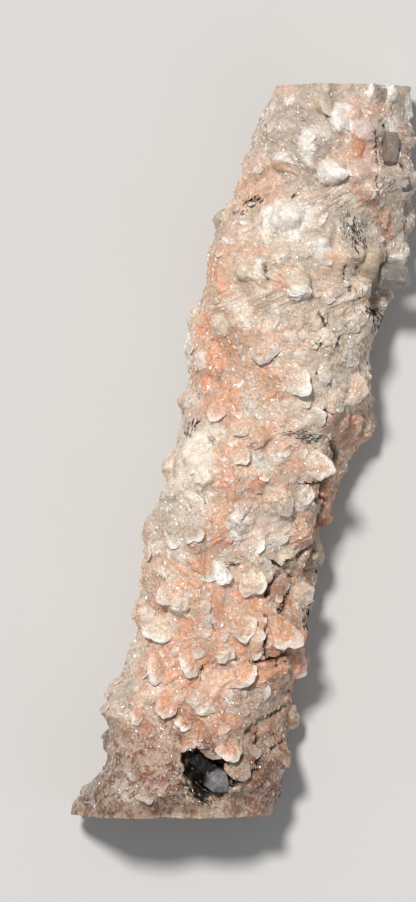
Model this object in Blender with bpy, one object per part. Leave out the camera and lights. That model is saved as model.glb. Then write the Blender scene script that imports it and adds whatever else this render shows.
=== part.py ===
"""Calcite and specularite on quartz.

A long, narrow cabinet specimen that lies on its trimmed back. A bar of massive quartz
carries a thick crust of lens-shaped calcite crystals over its front and both sides.
Near the foot a small open pocket holds a smoky quartz crystal, and black specularite
blades sit in the pocket and in clusters on the crust.

Metres, +Z up. The length runs along X, head at +X. The crust faces up, and the flat
back rests on z = 0. The origin is the middle of the whole thing, on that surface.
"""
import math
import random

import bmesh
import bpy
from mathutils import Matrix, Vector, noise
from mathutils.bvhtree import BVHTree

MM = 0.001

# ---- driving dimensions, in millimetres ----
LENGTH = 147.0            # head to foot, between the broken ends
THICKNESS = 25.0          # back to the highest part of the crust, between crystals
CRUST = 4.0               # calcite over the quartz on the front
CRUST_AT_SIDE = 3.0       # calcite over the quartz at the widest line
CRUST_FOOT = 3.6          # how far above the table the crust begins, on average
GAP = 0.35                # clearance between pieces that touch
RIM_ROOM = 1.1            # what the edge crystals stand out beyond the crust sheet
STATION_STEP = 4.9        # spacing of the crust's cross-sections
BAR_STEP = 12.0           # spacing of the quartz bar's
END_ROOM = 5.0            # how far the crystals' middles stay from the broken ends
GROWN_CRYSTALS = 46       # lens crystals besides the named ones
SEED = 41

# Outline seen from the front: along the length, left edge, right edge.
OUTLINE = [
    (-74, 37.5, -6.7), (-67, 33.4, -9.0), (-64, 29.4, -9.4), (-58, 27.6, -10.5),
    (-50, 27.4, -12.2), (-42, 24.9, -13.8), (-34, 21.6, -14.6), (-26, 22.3, -16.2),
    (-21, 22.0, -16.6), (-18, 18.6, -17.2), (-14, 20.2, -20.0), (-10, 18.0, -20.5),
    (-2, 15.0, -23.1), (2, 14.1, -25.8), (6, 13.5, -26.0), (10, 13.4, -27.4),
    (14, 11.9, -27.2), (22, 13.0, -26.6), (27, 11.4, -29.6), (30, 8.8, -30.8),
    (38, 8.5, -34.0), (46, 5.9, -33.5), (54, 1.8, -34.5), (62, -0.3, -35.5),
    (74, -5.9, -36.0),
]

# Lip of the broken ledge down the right side: along the length, across.
LEDGE_LIP = [
    (16, -24.0), (8, -21.0), (2, -17.7), (-4, -16.5), (-9, -14.0), (-15, -14.3),
    (-20, -13.8), (-25, -8.0), (-31, -5.5), (-38, -11.0), (-46, -9.5),
]
LEDGE_DROP = 4.5          # height of that ledge
LEDGE_HEAD, LEDGE_FOOT = 12.0, -36.0
LEDGE_FADE = 6.0          # length over which it comes in and goes out

# Cross-section of the crust block: share of the half width (left is +1), share of height.
CRUST_SECTION = [
    (0.90, 0.17), (0.99, 0.36), (0.97, 0.56), (0.86, 0.76), (0.66, 0.91), (0.40, 0.985),
    (0.12, 1.0), (-0.18, 0.99), (-0.44, 0.96), (-0.66, 0.89), (-0.84, 0.75), (-0.95, 0.56),
    (-0.99, 0.36), (-0.91, 0.17),
]

# Named crystals: along, across, half length, half breadth, lip heading, lift, thickness.
# A heading of 0 points to the head, 90 to the left edge, 180 to the foot, 270 to the right.
NAMED_CRYSTALS = {
    "upper_white_lump": (46.3, -8.7, 3.0, 4.4, 185, 8, 2.2),
    "small_white_lump": (41.5, -15.9, 1.9, 2.4, 190, 8, 1.4),
    "bright_lump": (32.9, -10.9, 3.4, 2.6, 185, 10, 2.2),
    "shoulder_lump": (37.7, -25.6, 3.3, 2.3, 200, 8, 1.7),
    "cream_nodule": (19.6, -4.1, 2.3, 2.7, 225, 14, 1.9),
    "curved_blade": (13.6, -10.4, 3.2, 2.9, 235, 24, 1.3),
    "small_boss_upper": (4.6, 0.8, 1.9, 1.9, 190, 8, 1.3),
    "small_boss_lower": (-0.9, 0.4, 2.2, 1.9, 200, 10, 1.4),
    "smooth_cream_plate": (-0.6, 9.7, 3.6, 3.5, 120, 6, 1.5),
    "plate_over_ledge": (-2.9, -14.9, 3.2, 3.0, 235, 12, 1.5),
    "lip_plate_upper": (-9.2, -12.4, 2.7, 2.4, 240, 14, 1.2),
    "lip_plate_middle": (-16.6, -11.4, 3.5, 2.6, 262, 12, 1.3),
    "lip_plate_lower": (-22.1, -8.4, 2.9, 2.8, 225, 18, 1.3),
    "white_finger": (-15.2, 0.9, 2.4, 1.6, 205, 14, 1.1),
    "white_finger_lower": (-24.7, 4.3, 2.3, 1.6, 215, 14, 1.1),
    "ledge_lens": (-26.4, -1.6, 2.6, 3.0, 225, 12, 1.3),
    "right_rim_plate": (12.2, -22.9, 2.4, 3.0, 255, 10, 1.4),
    "right_salmon_plate": (5.0, -21.4, 2.9, 3.6, 240, 8, 1.4),
    "right_pale_lump": (9.3, -18.7, 1.6, 2.2, 215, 12, 1.3),
    "head_white_block": (70.8, -27.3, 2.1, 2.6, 190, 8, 1.8),
    "head_pale_wedge": (65.1, -18.7, 3.8, 2.2, 160, 14, 1.6),
    "head_oval": (69.0, -15.7, 1.9, 1.8, 120, 10, 1.4),
    "head_knob": (67.1, -22.1, 1.5, 1.5, 190, 12, 1.3),
    "head_drape": (60.5, -12.3, 3.6, 1.4, 175, 8, 1.2),
    "pale_pink_lump": (55.1, -18.3, 2.4, 2.7, 200, 12, 1.7),
    "left_orange_lump": (57.9, -6.9, 1.9, 2.0, 10, 14, 1.4),
    "shoulder_plate": (35.7, -0.1, 2.6, 2.5, 170, 12, 1.5),
    "left_knob": (10.0, 12.1, 1.5, 1.5, 100, 10, 1.4),
    "left_nodule": (-35.9, 17.1, 2.6, 3.2, 150, 14, 1.8),
    "crescent_plate": (-42.5, 10.5, 2.9, 2.4, 145, 24, 1.4),
    "salmon_blade": (-35.9, -7.9, 4.4, 3.2, 215, 14, 1.5),
    "salmon_plate": (-35.1, 0.5, 3.1, 3.0, 205, 14, 1.5),
    "round_lens": (-40.3, 3.6, 2.1, 2.0, 205, 14, 1.3),
    "tongue_plate": (-45.1, 0.1, 2.0, 3.0, 215, 18, 1.3),
    "corner_block": (-42.6, -10.6, 3.4, 3.2, 250, 10, 2.0),
    "cream_button": (-30.8, 12.7, 1.6, 1.8, 160, 14, 1.3),
    "pocket_brow": (-59.3, 2.7, 2.9, 2.8, 190, 10, 1.5),
    "orange_lens": (-57.7, 11.3, 1.7, 2.4, 200, 12, 1.2),
    "thin_crescent": (-53.7, 11.3, 2.7, 1.8, 140, 24, 1.2),
    "foot_nodule": (-52.3, 20.9, 2.2, 1.9, 145, 18, 1.5),
    "foot_plate": (-50.5, 15.5, 2.8, 2.3, 165, 14, 1.4),
    "pale_foot_plate": (-50.1, 7.6, 2.7, 3.2, 190, 8, 1.3),
    "drusy_corner_lump": (-68.0, 30.0, 3.8, 3.4, 110, 6, 2.0),
    "tan_nodule": (-28.7, -11.7, 2.5, 2.6, 250, 8, 2.2),
}

# Broken cracks in the crust: points along the crack as (along, across).
CRACKS = {
    "ledge_crack": [(1.8, -17.6), (-3.4, -18.3), (-6.6, -15.6), (-9.6, -14.4), (-14.4, -14.7),
                    (-18.4, -14.4), (-21.6, -11.6), (-25.0, -6.3), (-28.8, -4.4)],
    "corner_crack": [(-38.6, -13.4), (-40.0, -8.6), (-41.2, -4.6), (-42.4, -1.0)],
    "foot_crack": [(-56.6, -2.6), (-60.2, -3.0), (-63.2, -3.2), (-65.6, -1.6)],
}
CRACK_WIDTH = 0.8
CRACK_DEPTH = 3.0

# Pocket near the foot: middle of its mouth, half sizes, depth, and lean from the length.
POCKET_AT = (-65.2, 6.6)
POCKET_LONG, POCKET_SHORT = 5.6, 4.3
POCKET_DEPTH = 7.5
POCKET_TURN = 66.0
POCKET_SIDES = 10
POCKET_BLADE_SIDES = (7, 8, 9, 10, 11, 12)    # sides of the wall that carry specularite

# Quartz crystals that show on the right side: along, across, height of the axis above the
# table, radius, length of the prism, heading and pitch of the tip.
QUARTZ_POINTS = {
    "edge_quartz_crystal": (34.9, -27.2, 18.2, 2.6, 5.2, 264, -6),
    "upper_quartz_crystal": (63.4, -29.2, 20.0, 2.0, 5.9, 178, 2),
    "lower_quartz_crystal": (55.3, -31.4, 16.8, 2.0, 3.4, 198, 4),
}
RIB_AT = (-19.0, -12.8, 9.0)       # bare quartz rib on the right side
RIB_HALF = (5.2, 3.4, 6.5)
RIB_LEAN = 13.0

# Clusters of specularite blades: along, across, reach, blades, heading of the streak.
SPECULARITE = {
    "specularite_head": (49.5, -1.9, 2.4, 4, 121),
    "specularite_streaks": (44.1, -21.7, 3.0, 6, 16),
    "specularite_right_edge": (28.9, -26.5, 2.8, 5, 70),
    "specularite_band": (2.6, -12.3, 4.0, 7, 82),
    "specularite_left_edge": (4.5, 10.5, 2.6, 4, 152),
    "specularite_rib": (-33.7, -12.9, 2.8, 5, 20),
}


# ---- small tools ----
def interpolate(rows, along, column):
    """Value of a column between two rows of a list ordered by its first value."""
    rows = sorted(rows)
    if along <= rows[0][0]:
        return rows[0][column]
    for low, high in zip(rows, rows[1:]):
        if along <= high[0]:
            share = (along - low[0]) / (high[0] - low[0])
            return low[column] + share * (high[column] - low[column])
    return rows[-1][column]


def smoothstep(low, high, value):
    share = min(max((value - low) / (high - low), 0.0), 1.0)
    return share * share * (3.0 - 2.0 * share)


def principled(name, colour, roughness, metallic=0.0, transmission=0.0):
    material = bpy.data.materials.new(name)
    material.use_nodes = True
    shader = material.node_tree.nodes["Principled BSDF"]
    shader.inputs["Base Color"].default_value = (*colour, 1.0)
    shader.inputs["Roughness"].default_value = roughness
    shader.inputs["Metallic"].default_value = metallic
    shader.inputs["Transmission Weight"].default_value = transmission
    material.diffuse_color = (*colour, 1.0)
    return material


def make_object(name, shape, material):
    """Turns a bmesh in millimetres into an object in metres."""
    bmesh.ops.scale(shape, vec=(MM, MM, MM), verts=shape.verts)
    bmesh.ops.recalc_face_normals(shape, faces=shape.faces)
    mesh = bpy.data.meshes.new(name)
    shape.to_mesh(mesh)
    shape.free()
    mesh.materials.append(material)
    item = bpy.data.objects.new(name, mesh)
    bpy.context.scene.collection.objects.link(item)
    return item


def apply_boolean(target, other, operation, keep_other=False):
    """Cuts or joins with the exact solver and keeps the one body that is the piece."""
    step = target.modifiers.new(operation.lower(), "BOOLEAN")
    step.operation = operation
    step.object = other
    step.solver = "EXACT"
    step.use_self = True
    evaluated = target.evaluated_get(bpy.context.evaluated_depsgraph_get())
    shape = bmesh.new()
    shape.from_mesh(evaluated.to_mesh())
    evaluated.to_mesh_clear()
    target.modifiers.remove(step)
    keep_largest_body(shape)
    shape.to_mesh(target.data)
    shape.free()
    if not keep_other:
        bpy.data.objects.remove(other, do_unlink=True)


def keep_largest_body(shape):
    """Removes crumbs that a cut has set free."""
    shape.verts.ensure_lookup_table()
    unseen = set(shape.verts)
    bodies = []
    while unseen:
        body = set()
        border = [unseen.pop()]
        while border:
            vert = border.pop()
            body.add(vert)
            for edge in vert.link_edges:
                other = edge.other_vert(vert)
                if other in unseen:
                    unseen.discard(other)
                    border.append(other)
        bodies.append(body)
    largest = max(bodies, key=len)
    crumbs = [vert for body in bodies if body is not largest for vert in body]
    bmesh.ops.delete(shape, geom=crumbs, context="VERTS")


def loft(shape, sections):
    """Skins closed rings of equal count and caps both ends with fans."""
    rings = [[shape.verts.new(point) for point in ring] for ring in sections]
    count = len(rings[0])
    for low, high in zip(rings, rings[1:]):
        for index in range(count):
            after = (index + 1) % count
            shape.faces.new((low[index], low[after], high[after], high[index]))
    for ring in (rings[0], rings[-1]):
        middle = sum((vert.co for vert in ring), Vector()) / count
        inner = [shape.verts.new(vert.co.lerp(middle, 0.45)) for vert in ring]
        centre = shape.verts.new(middle)
        for index in range(count):
            after = (index + 1) % count
            shape.faces.new((ring[index], ring[after], inner[after], inner[index]))
            shape.faces.new((inner[index], inner[after], centre))


def hull(shape, points):
    """Adds the convex body around a set of points."""
    verts = [shape.verts.new(point) for point in points]
    made = bmesh.ops.convex_hull(shape, input=verts)
    loose = {item for item in made["geom_interior"] + made["geom_unused"]
             if isinstance(item, bmesh.types.BMVert)}
    bmesh.ops.delete(shape, geom=list(loose), context="VERTS")


def grown_hull(item, grow, material):
    """A convex body that clears every point of an object by a set distance."""
    points = [item.matrix_world @ vert.co / MM for vert in item.data.vertices]
    corners = [Vector(way) * grow * 1.9 for way in ((1, 0, 0), (-1, 0, 0), (0, 1, 0), (0, -1, 0),
                                                    (0, 0, 1), (0, 0, -1))]
    shape = bmesh.new()
    hull(shape, [point + corner for point in points for corner in corners])
    bmesh.ops.dissolve_limit(shape, angle_limit=math.radians(16), verts=shape.verts,
                             edges=shape.edges)
    bmesh.ops.triangulate(shape, faces=shape.faces)
    return make_object(item.name + "_seat", shape, material)


# ---- the bar: outline, heights and the surface that the crystals grow on ----
def edges_at(along):
    return interpolate(OUTLINE, along, 1), interpolate(OUTLINE, along, 2)


def crown_height(along):
    """Height of the crust sheet, with slow swells along the length."""
    swell = 0.9 * math.sin(along / 11.0 + 0.6) + 0.7 * math.sin(along / 5.3 + 2.0)
    return THICKNESS + swell - 1.5 * smoothstep(40, 74, along) - 2.0 * smoothstep(-58, -74, along)


def crown_lean(along):
    """How far the crown stands off the middle, as a share of the half width."""
    return 0.5 * noise.noise(Vector((along / 17.0, 4.4, 8.8)))


def lumps(along, across, height, size, amount):
    """Soft swelling of a surface, the same wherever it is asked for."""
    return amount * noise.noise(Vector((along, across, height)) / size + Vector((SEED, 3.1, 7.7)))


def crust_foot(along, side):
    """Uneven lower border of the crust on the left and the right side."""
    return CRUST_FOOT + 5.0 * noise.noise(Vector((along / 8.0, 9.0 * side, 1.3)))


def crust_section(along):
    """Closed ring of the crust block at one station, left foot over the crown to right foot."""
    left, right = edges_at(along)
    half = (left - right) / 2 - RIM_ROOM
    middle = (left + right) / 2
    crown = crown_height(along)
    ledge = smoothstep(LEDGE_HEAD, LEDGE_HEAD - LEDGE_FADE, along)
    ledge *= smoothstep(LEDGE_FOOT, LEDGE_FOOT + LEDGE_FADE, along)
    lip = interpolate(LEDGE_LIP, along, 1)
    ring = []
    for side, rise in CRUST_SECTION:
        across = middle + (side + crown_lean(along) * (1 - abs(side))) * half
        height = max(crust_foot(along, side), crown * rise)
        if ledge > 0 and across < lip:
            height -= LEDGE_DROP * ledge * smoothstep(CRUST_FOOT, CRUST_FOOT + 9, height)
        push = (lumps(along, across, height, 21.0, 4.4) + lumps(along, across, height, 8.0, 3.0)
                + lumps(along, across, height, 4.0, 2.2))
        outward = Vector((0.0, side, 0.9 * rise)).normalized()
        reach = outward * push * smoothstep(0.1, 0.4, rise)
        if abs(side) > 0.9:
            reach.y *= 0.4
        ring.append(Vector((along, across, height)) + reach)
    return ring


def matrix_section(along, grow=0.0):
    """Ring of the quartz bar: inside the crust above, wider than its foot below."""
    left, right = edges_at(along)
    half = (left - right) / 2 - RIM_ROOM
    middle = (left + right) / 2
    crown = crown_height(along)
    ring = []
    for side, rise in CRUST_SECTION[1:-1]:
        inset = CRUST_AT_SIDE + (CRUST - CRUST_AT_SIDE) * rise
        outward = Vector((0.0, side, 1.1 * rise)).normalized()
        across = middle + (side + crown_lean(along) * (1 - abs(side))) * half
        point = Vector((along, across, crown * rise)) - outward * inset
        point += outward * lumps(along, point.y, point.z, 13.0, 1.2)
        if LEDGE_FOOT < along < LEDGE_HEAD and point.y < interpolate(LEDGE_LIP, along, 1) + 3:
            point.z -= LEDGE_DROP * 0.9 * smoothstep(10, 16, point.z)
        ring.append(point + outward * grow)
    foot = [Vector((along, middle + side * half * 0.9, 3.0)) for side in (-1, 1)]
    rest = [Vector((along, middle + side * half * 0.7, 0.0)) for side in (-1, 1)]
    for place, side in enumerate((-1, 1)):
        chip = lumps(along, side * half, 0.0, 9.0, 3.4)
        foot[place] += Vector((0, chip * 0.4 + side * grow, -side * chip - grow))
        rest[place] += Vector((0, chip, -grow))
    ring += [foot[0], rest[0], rest[1], foot[1]]
    return ring


def stations(step):
    count = round(LENGTH / step)
    return [LENGTH * (index / count - 0.5) for index in range(count + 1)]


def rough_end(ring, along, rng, depth):
    """Breaks an end face: its points stand back from the plane by uneven amounts."""
    inward = -1 if along > 0 else 1
    return [point + Vector((inward * rng.uniform(0.0, depth), 0, 0)) for point in ring]


# ---- pieces ----
def build_quartz_bar(name, grow, overrun, material):
    """The bar itself, or with some growth and overrun the seat that it leaves in the crust."""
    rng = random.Random(SEED)
    places = stations(BAR_STEP)
    sections = [matrix_section(along, grow) for along in places]
    sections[0] = rough_end(sections[0], places[0], rng, 1.4)
    sections[-1] = rough_end(sections[-1], places[-1], rng, 1.4)
    if overrun:
        beyond = Vector((overrun, 0, 0))
        sections.insert(0, [point - beyond for point in sections[0]])
        sections.append([point + beyond for point in sections[-1]])
    shape = bmesh.new()
    loft(shape, sections)
    bmesh.ops.triangulate(shape, faces=shape.faces)
    return make_object(name, shape, material)


def build_rib(name, grow, material):
    """Bare rib of quartz, a slanting block with flat crystal faces."""
    shape = bmesh.new()
    middle = Vector(RIB_AT)
    half = Vector(RIB_HALF) + Vector((grow, grow, grow))
    lean = Matrix.Rotation(math.radians(RIB_LEAN), 3, "Z")
    slices = ((-1.0, 0.55, 0.6), (-0.6, 0.95, 1.0), (0.55, 1.0, 0.9), (1.0, 0.6, 0.55))
    corners = ((-1, -0.8), (-1.05, 0.35), (-0.55, 0.95), (0.9, 0.9), (1, -0.8))
    points = []
    for share, width, height in slices:
        for side, rise in corners:
            points.append(middle + lean @ Vector((share * half.x, side * width * half.y,
                                                  rise * height * half.z)))
    hull(shape, points)
    return make_object(name, shape, material)


def build_crust_block(material):
    rng = random.Random(SEED + 1)
    places = stations(STATION_STEP)
    sections = [crust_section(along) for along in places]
    sections[0] = rough_end(sections[0], places[0], rng, 1.2)
    sections[-1] = rough_end(sections[-1], places[-1], rng, 1.2)
    shape = bmesh.new()
    loft(shape, sections)
    bmesh.ops.triangulate(shape, faces=shape.faces)
    return make_object("calcite_crust", shape, material)


def lens(shape, centre, normal, size, heading, lift, rng, sides=6):
    """One lens crystal: a sharp uneven rim, a low dome above and a root below.

    The lip, the side at the heading, is lifted clear of the crust by the lift angle."""
    half_long, half_short, thick = size
    level = Vector((math.cos(math.radians(heading)), math.sin(math.radians(heading)), 0.0))
    towards = (level - normal * level.dot(normal)).normalized()
    if towards.length < 0.5:
        towards = normal.orthogonal().normalized()
    aside = normal.cross(towards).normalized()
    turn = Matrix.Rotation(-math.radians(lift), 3, aside)
    lip, up = turn @ towards, turn @ normal
    rims = []
    for index in range(sides):
        angle = 2 * math.pi * (index + rng.uniform(-0.18, 0.18)) / sides
        reach = rng.uniform(0.88, 1.06)
        rims.append((math.cos(angle) * half_long * reach, math.sin(angle) * half_short * reach))
    outer = [shape.verts.new(centre + lip * a + aside * b) for a, b in rims]
    inner = [shape.verts.new(centre + lip * a * 0.6 + aside * b * 0.6 + up * thick * 0.7)
             for a, b in rims]
    root = shape.verts.new(centre - lip * half_long * 0.25 - up * max(thick, 1.6) * 1.3)
    shape.faces.new(inner)
    for index in range(sides):
        after = (index + 1) % sides
        shape.faces.new((outer[index], outer[after], inner[after], inner[index]))
        shape.faces.new((outer[after], outer[index], root))


def surface_tree(item):
    shape = bmesh.new()
    shape.from_mesh(item.data)
    bmesh.ops.scale(shape, vec=(1 / MM, 1 / MM, 1 / MM), verts=shape.verts)
    tree = BVHTree.FromBMesh(shape)
    faces = [(face.calc_center_median(), face.normal.copy(), face.calc_area(),
              [vert.co.copy() for vert in face.verts]) for face in shape.faces]
    shape.free()
    return tree, faces


def surface_at(tree, along, across):
    """Point and outward direction of a surface seen from above, or of its side wall."""
    where, normal, _, _ = tree.ray_cast(Vector((along, across, 80)), Vector((0, 0, -1)))
    if where is None:
        where, normal, _, _ = tree.find_nearest(Vector((along, across, THICKNESS * 0.5)))
    return where, normal


def grow_crystals(block, material):
    """All lens crystals of the crust, as one overlapping mesh for the union."""
    rng = random.Random(SEED + 2)
    tree, faces = surface_tree(block)
    shape = bmesh.new()
    placed = []
    for along, across, half_long, half_short, heading, lift, thick in NAMED_CRYSTALS.values():
        where, normal = surface_at(tree, along, across)
        lens(shape, where + normal * 0.25, normal, (half_long, half_short, thick), heading, lift, rng)
        placed.append((where, half_short))
    sides = [face for face in faces if face[1].z > -0.25 and abs(face[1].x) < 0.85]
    weights = [face[2] for face in sides]
    wanted = len(placed) + GROWN_CRYSTALS
    for _ in range(9000):
        if len(placed) >= wanted:
            break
        centre, normal, _, corners = rng.choices(sides, weights)[0]
        shares = [rng.random() for _ in corners]
        where = sum((corner * share for corner, share in zip(corners, shares)), Vector()) / sum(shares)
        half_long = rng.uniform(2.8, 5.2)
        if where.z < CRUST_FOOT + 2.5 or abs(where.x) > LENGTH / 2 - END_ROOM:
            continue
        if any((where - other).length < 0.66 * (half_long + reach) for other, reach in placed):
            continue
        heading = rng.gauss(190, 45) if normal.z > 0.5 else rng.gauss(190, 80)
        size = (half_long, half_long * rng.uniform(0.62, 0.88), rng.uniform(1.3, 2.3))
        lens(shape, where + normal * 0.2, normal, size, heading, rng.uniform(6, 26), rng)
        placed.append((where, half_long))
    return make_object("lens_crystals", shape, material)


def crack_cutter(points, tree, material):
    """A V-shaped cut that follows a crack down the surface of the crust."""
    sections = []
    for index, (along, across) in enumerate(points):
        before = Vector((*points[max(index - 1, 0)], 0))
        after = Vector((*points[min(index + 1, len(points) - 1)], 0))
        run = (after - before).normalized()
        aside = Vector((-run.y, run.x, 0))
        where, _ = surface_at(tree, along, across)
        ends = index in (0, len(points) - 1)
        width = CRACK_WIDTH * (0.35 if ends else 1.0) / 2
        depth = CRACK_DEPTH * (0.5 if ends else 1.0)
        sections.append([where + aside * width + Vector((0, 0, 3)),
                         where - aside * width + Vector((0, 0, 3)),
                         where - aside * width * 0.4 - Vector((0, 0, depth)),
                         where + aside * width * 0.4 - Vector((0, 0, depth))])
    shape = bmesh.new()
    loft(shape, sections)
    bmesh.ops.triangulate(shape, faces=shape.faces)
    return make_object("crack", shape, material)


def pocket_frame():
    """The pocket's long way and its short way."""
    turn = Matrix.Rotation(math.radians(POCKET_TURN), 3, "Z")
    return turn @ Vector((1, 0, 0)), turn @ Vector((0, 1, 0))


def pocket_ring(mouth, depth, scale, grow):
    """Uneven ring of the pocket's wall at one depth below its mouth."""
    rng = random.Random(SEED + 3)
    long_way, short_way = pocket_frame()
    ring = []
    for index in range(POCKET_SIDES):
        angle = 2 * math.pi * index / POCKET_SIDES
        reach = scale * rng.uniform(0.88, 1.08)
        ring.append(mouth + long_way * math.cos(angle) * (POCKET_LONG * reach + grow)
                    + short_way * math.sin(angle) * (POCKET_SHORT * reach + grow)
                    - Vector((0, 0, depth)))
    return ring


def pocket_cutter(mouth, material):
    """The hollow: an uneven cup, widest at its mouth."""
    walls = ((-6.0, 1.12), (0.8, 1.04), (3.4, 0.94), (5.8, 0.7), (POCKET_DEPTH, 0.4))
    shape = bmesh.new()
    loft(shape, [pocket_ring(mouth, depth, scale, 0.0) for depth, scale in walls])
    bmesh.ops.triangulate(shape, faces=shape.faces)
    return make_object("pocket", shape, material)


def build_pocket_specularite(mouth, material):
    """One crust around the upper and left walls of the pocket, set with upright blades."""
    rng = random.Random(SEED + 4)
    top = pocket_ring(mouth, 0.9, 1.02, -GAP * 1.4)
    low = pocket_ring(mouth, 3.3, 0.94, -GAP * 1.4)
    inner = pocket_ring(mouth, 1.5, 0.98, -GAP * 1.4 - 0.8)
    band = [index % POCKET_SIDES for index in POCKET_BLADE_SIDES]
    shape = bmesh.new()
    loft(shape, [(top[index], low[index], inner[index]) for index in band])
    item = make_object("pocket_specularite", shape, material)
    plates = bmesh.new()
    for low_side, high_side in zip(band, band[1:]):
        for share in (0.25, 0.75):
            foot = inner[low_side].lerp(inner[high_side], share)
            wall = top[low_side].lerp(top[high_side], share)
            inward = (foot - wall)
            inward.z = 0
            inward.normalize()
            run = (inner[high_side] - inner[low_side]).normalized()
            spin = Matrix.Rotation(math.radians(rng.uniform(-35, 35)), 3, "Z")
            up = (Vector((0, 0, 1)) + inward * rng.uniform(0.1, 0.45)).normalized()
            blade(plates, foot.lerp(wall, 0.4) + Vector((0, 0, 0.4)), spin @ run, up,
                  rng.uniform(1.1, 1.7), rng.uniform(1.0, 1.7), 0.3)
    bmesh.ops.recalc_face_normals(plates, faces=plates.faces)
    apply_boolean(item, make_object("pocket_blades", plates, material), "UNION")
    return item


def quartz_point(name, base, heading, pitch, radius, length, material, tip_share=0.9):
    """Six-sided prism with a six-faced point, lying along its heading."""
    rng = random.Random(name)
    flat = Vector((math.cos(math.radians(heading)), math.sin(math.radians(heading)), 0))
    slope = math.radians(pitch)
    axis = (flat * math.cos(slope) + Vector((0, 0, math.sin(slope)))).normalized()
    aside = axis.cross(Vector((0, 0, 1))).normalized()
    up = aside.cross(axis)
    radii = [radius * rng.uniform(0.86, 1.08) for _ in range(6)]
    shape = bmesh.new()
    sections = []
    for travel, scale in ((0.0, 0.86), (0.12 * length, 1.0), (length, 0.95)):
        sections.append([base + axis * travel + (aside * math.cos(math.radians(60 * i + 12))
                         + up * math.sin(math.radians(60 * i + 12))) * radii[i] * scale
                         for i in range(6)])
    rings = [[shape.verts.new(point) for point in ring] for ring in sections]
    for low, high in zip(rings, rings[1:]):
        for index in range(6):
            after = (index + 1) % 6
            shape.faces.new((low[index], low[after], high[after], high[index]))
    shape.faces.new(rings[0])
    tip = shape.verts.new(base + axis * (length + radius * tip_share) + aside * radius * 0.14)
    for index in range(6):
        shape.faces.new((rings[-1][index], rings[-1][(index + 1) % 6], tip))
    bmesh.ops.triangulate(shape, faces=shape.faces)
    return make_object(name, shape, material)


def blade(shape, centre, long_way, up, length, height, thick):
    """One specularite plate: thin, four-cornered, standing on edge with its root below."""
    aside = long_way.cross(up).normalized() * thick / 2
    profile = ((-0.5, -0.9), (0.5, -0.9), (0.56, 0.62), (-0.5, 1.0))
    points = [centre + long_way * a * length + up * b * height for a, b in profile]
    front = [shape.verts.new(point + aside) for point in points]
    back = [shape.verts.new(point - aside) for point in points]
    for index in range(len(profile)):
        after = (index + 1) % len(profile)
        shape.faces.new((front[index], front[after], back[after], back[index]))
    shape.faces.new(front)
    shape.faces.new(back)


def build_specularite(name, centre, normal, reach, blades, heading, material):
    """Cluster of blades fused to a thin common root that lies in the crust."""
    rng = random.Random(name)
    way = Vector((math.cos(math.radians(heading)), math.sin(math.radians(heading)), 0))
    long_way = (way - normal * way.dot(normal)).normalized()
    aside = normal.cross(long_way)
    root = bmesh.new()
    rim = []
    for index in range(8):
        angle = 2 * math.pi * index / 8
        size = rng.uniform(0.85, 1.05)
        rim.append(centre + long_way * math.cos(angle) * reach * size
                   + aside * math.sin(angle) * reach * 0.5 * size)
    hull(root, [point + normal * 0.15 for point in rim] + [centre + normal * 0.45]
         + [centre.lerp(point, 0.6) - normal * 0.9 for point in rim])
    item = make_object(name, root, material)
    plates = bmesh.new()
    for index in range(blades):
        row, place = index % 3 - 1, index // 3
        along = (2 * (place + 0.5 + 0.25 * row) / math.ceil(blades / 3) - 1) * 0.8
        where = centre + long_way * along * reach + aside * row * 0.28 * reach
        tilt = Matrix.Rotation(math.radians(rng.uniform(-22, 22)), 3, long_way)
        spin = Matrix.Rotation(math.radians(rng.uniform(-20, 20)), 3, normal)
        blade(plates, where + normal * 0.35, spin @ long_way, spin @ (tilt @ normal),
              1.3 * reach / math.ceil(blades / 3), rng.uniform(0.6, 1.15), 0.3)
    bmesh.ops.recalc_face_normals(plates, faces=plates.faces)
    apply_boolean(item, make_object(name + "_blades", plates, material), "UNION")
    return item


def centre_on_origin(items):
    """Moves everything so that the middle of its box is at the origin, on z = 0."""
    points = [vert.co for item in items for vert in item.data.vertices]
    middle = [(max(point[axis] for point in points) + min(point[axis] for point in points)) / 2
              for axis in (0, 1)]
    lowest = min(point.z for point in points)
    for item in items:
        item.data.transform(Matrix.Translation((-middle[0], -middle[1], -lowest)))


def finish(item):
    """Flat-shaded triangles, as each small crystal face is."""
    shape = bmesh.new()
    shape.from_mesh(item.data)
    bmesh.ops.triangulate(shape, faces=shape.faces)
    shape.to_mesh(item.data)
    shape.free()
    item.data.shade_flat()


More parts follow.
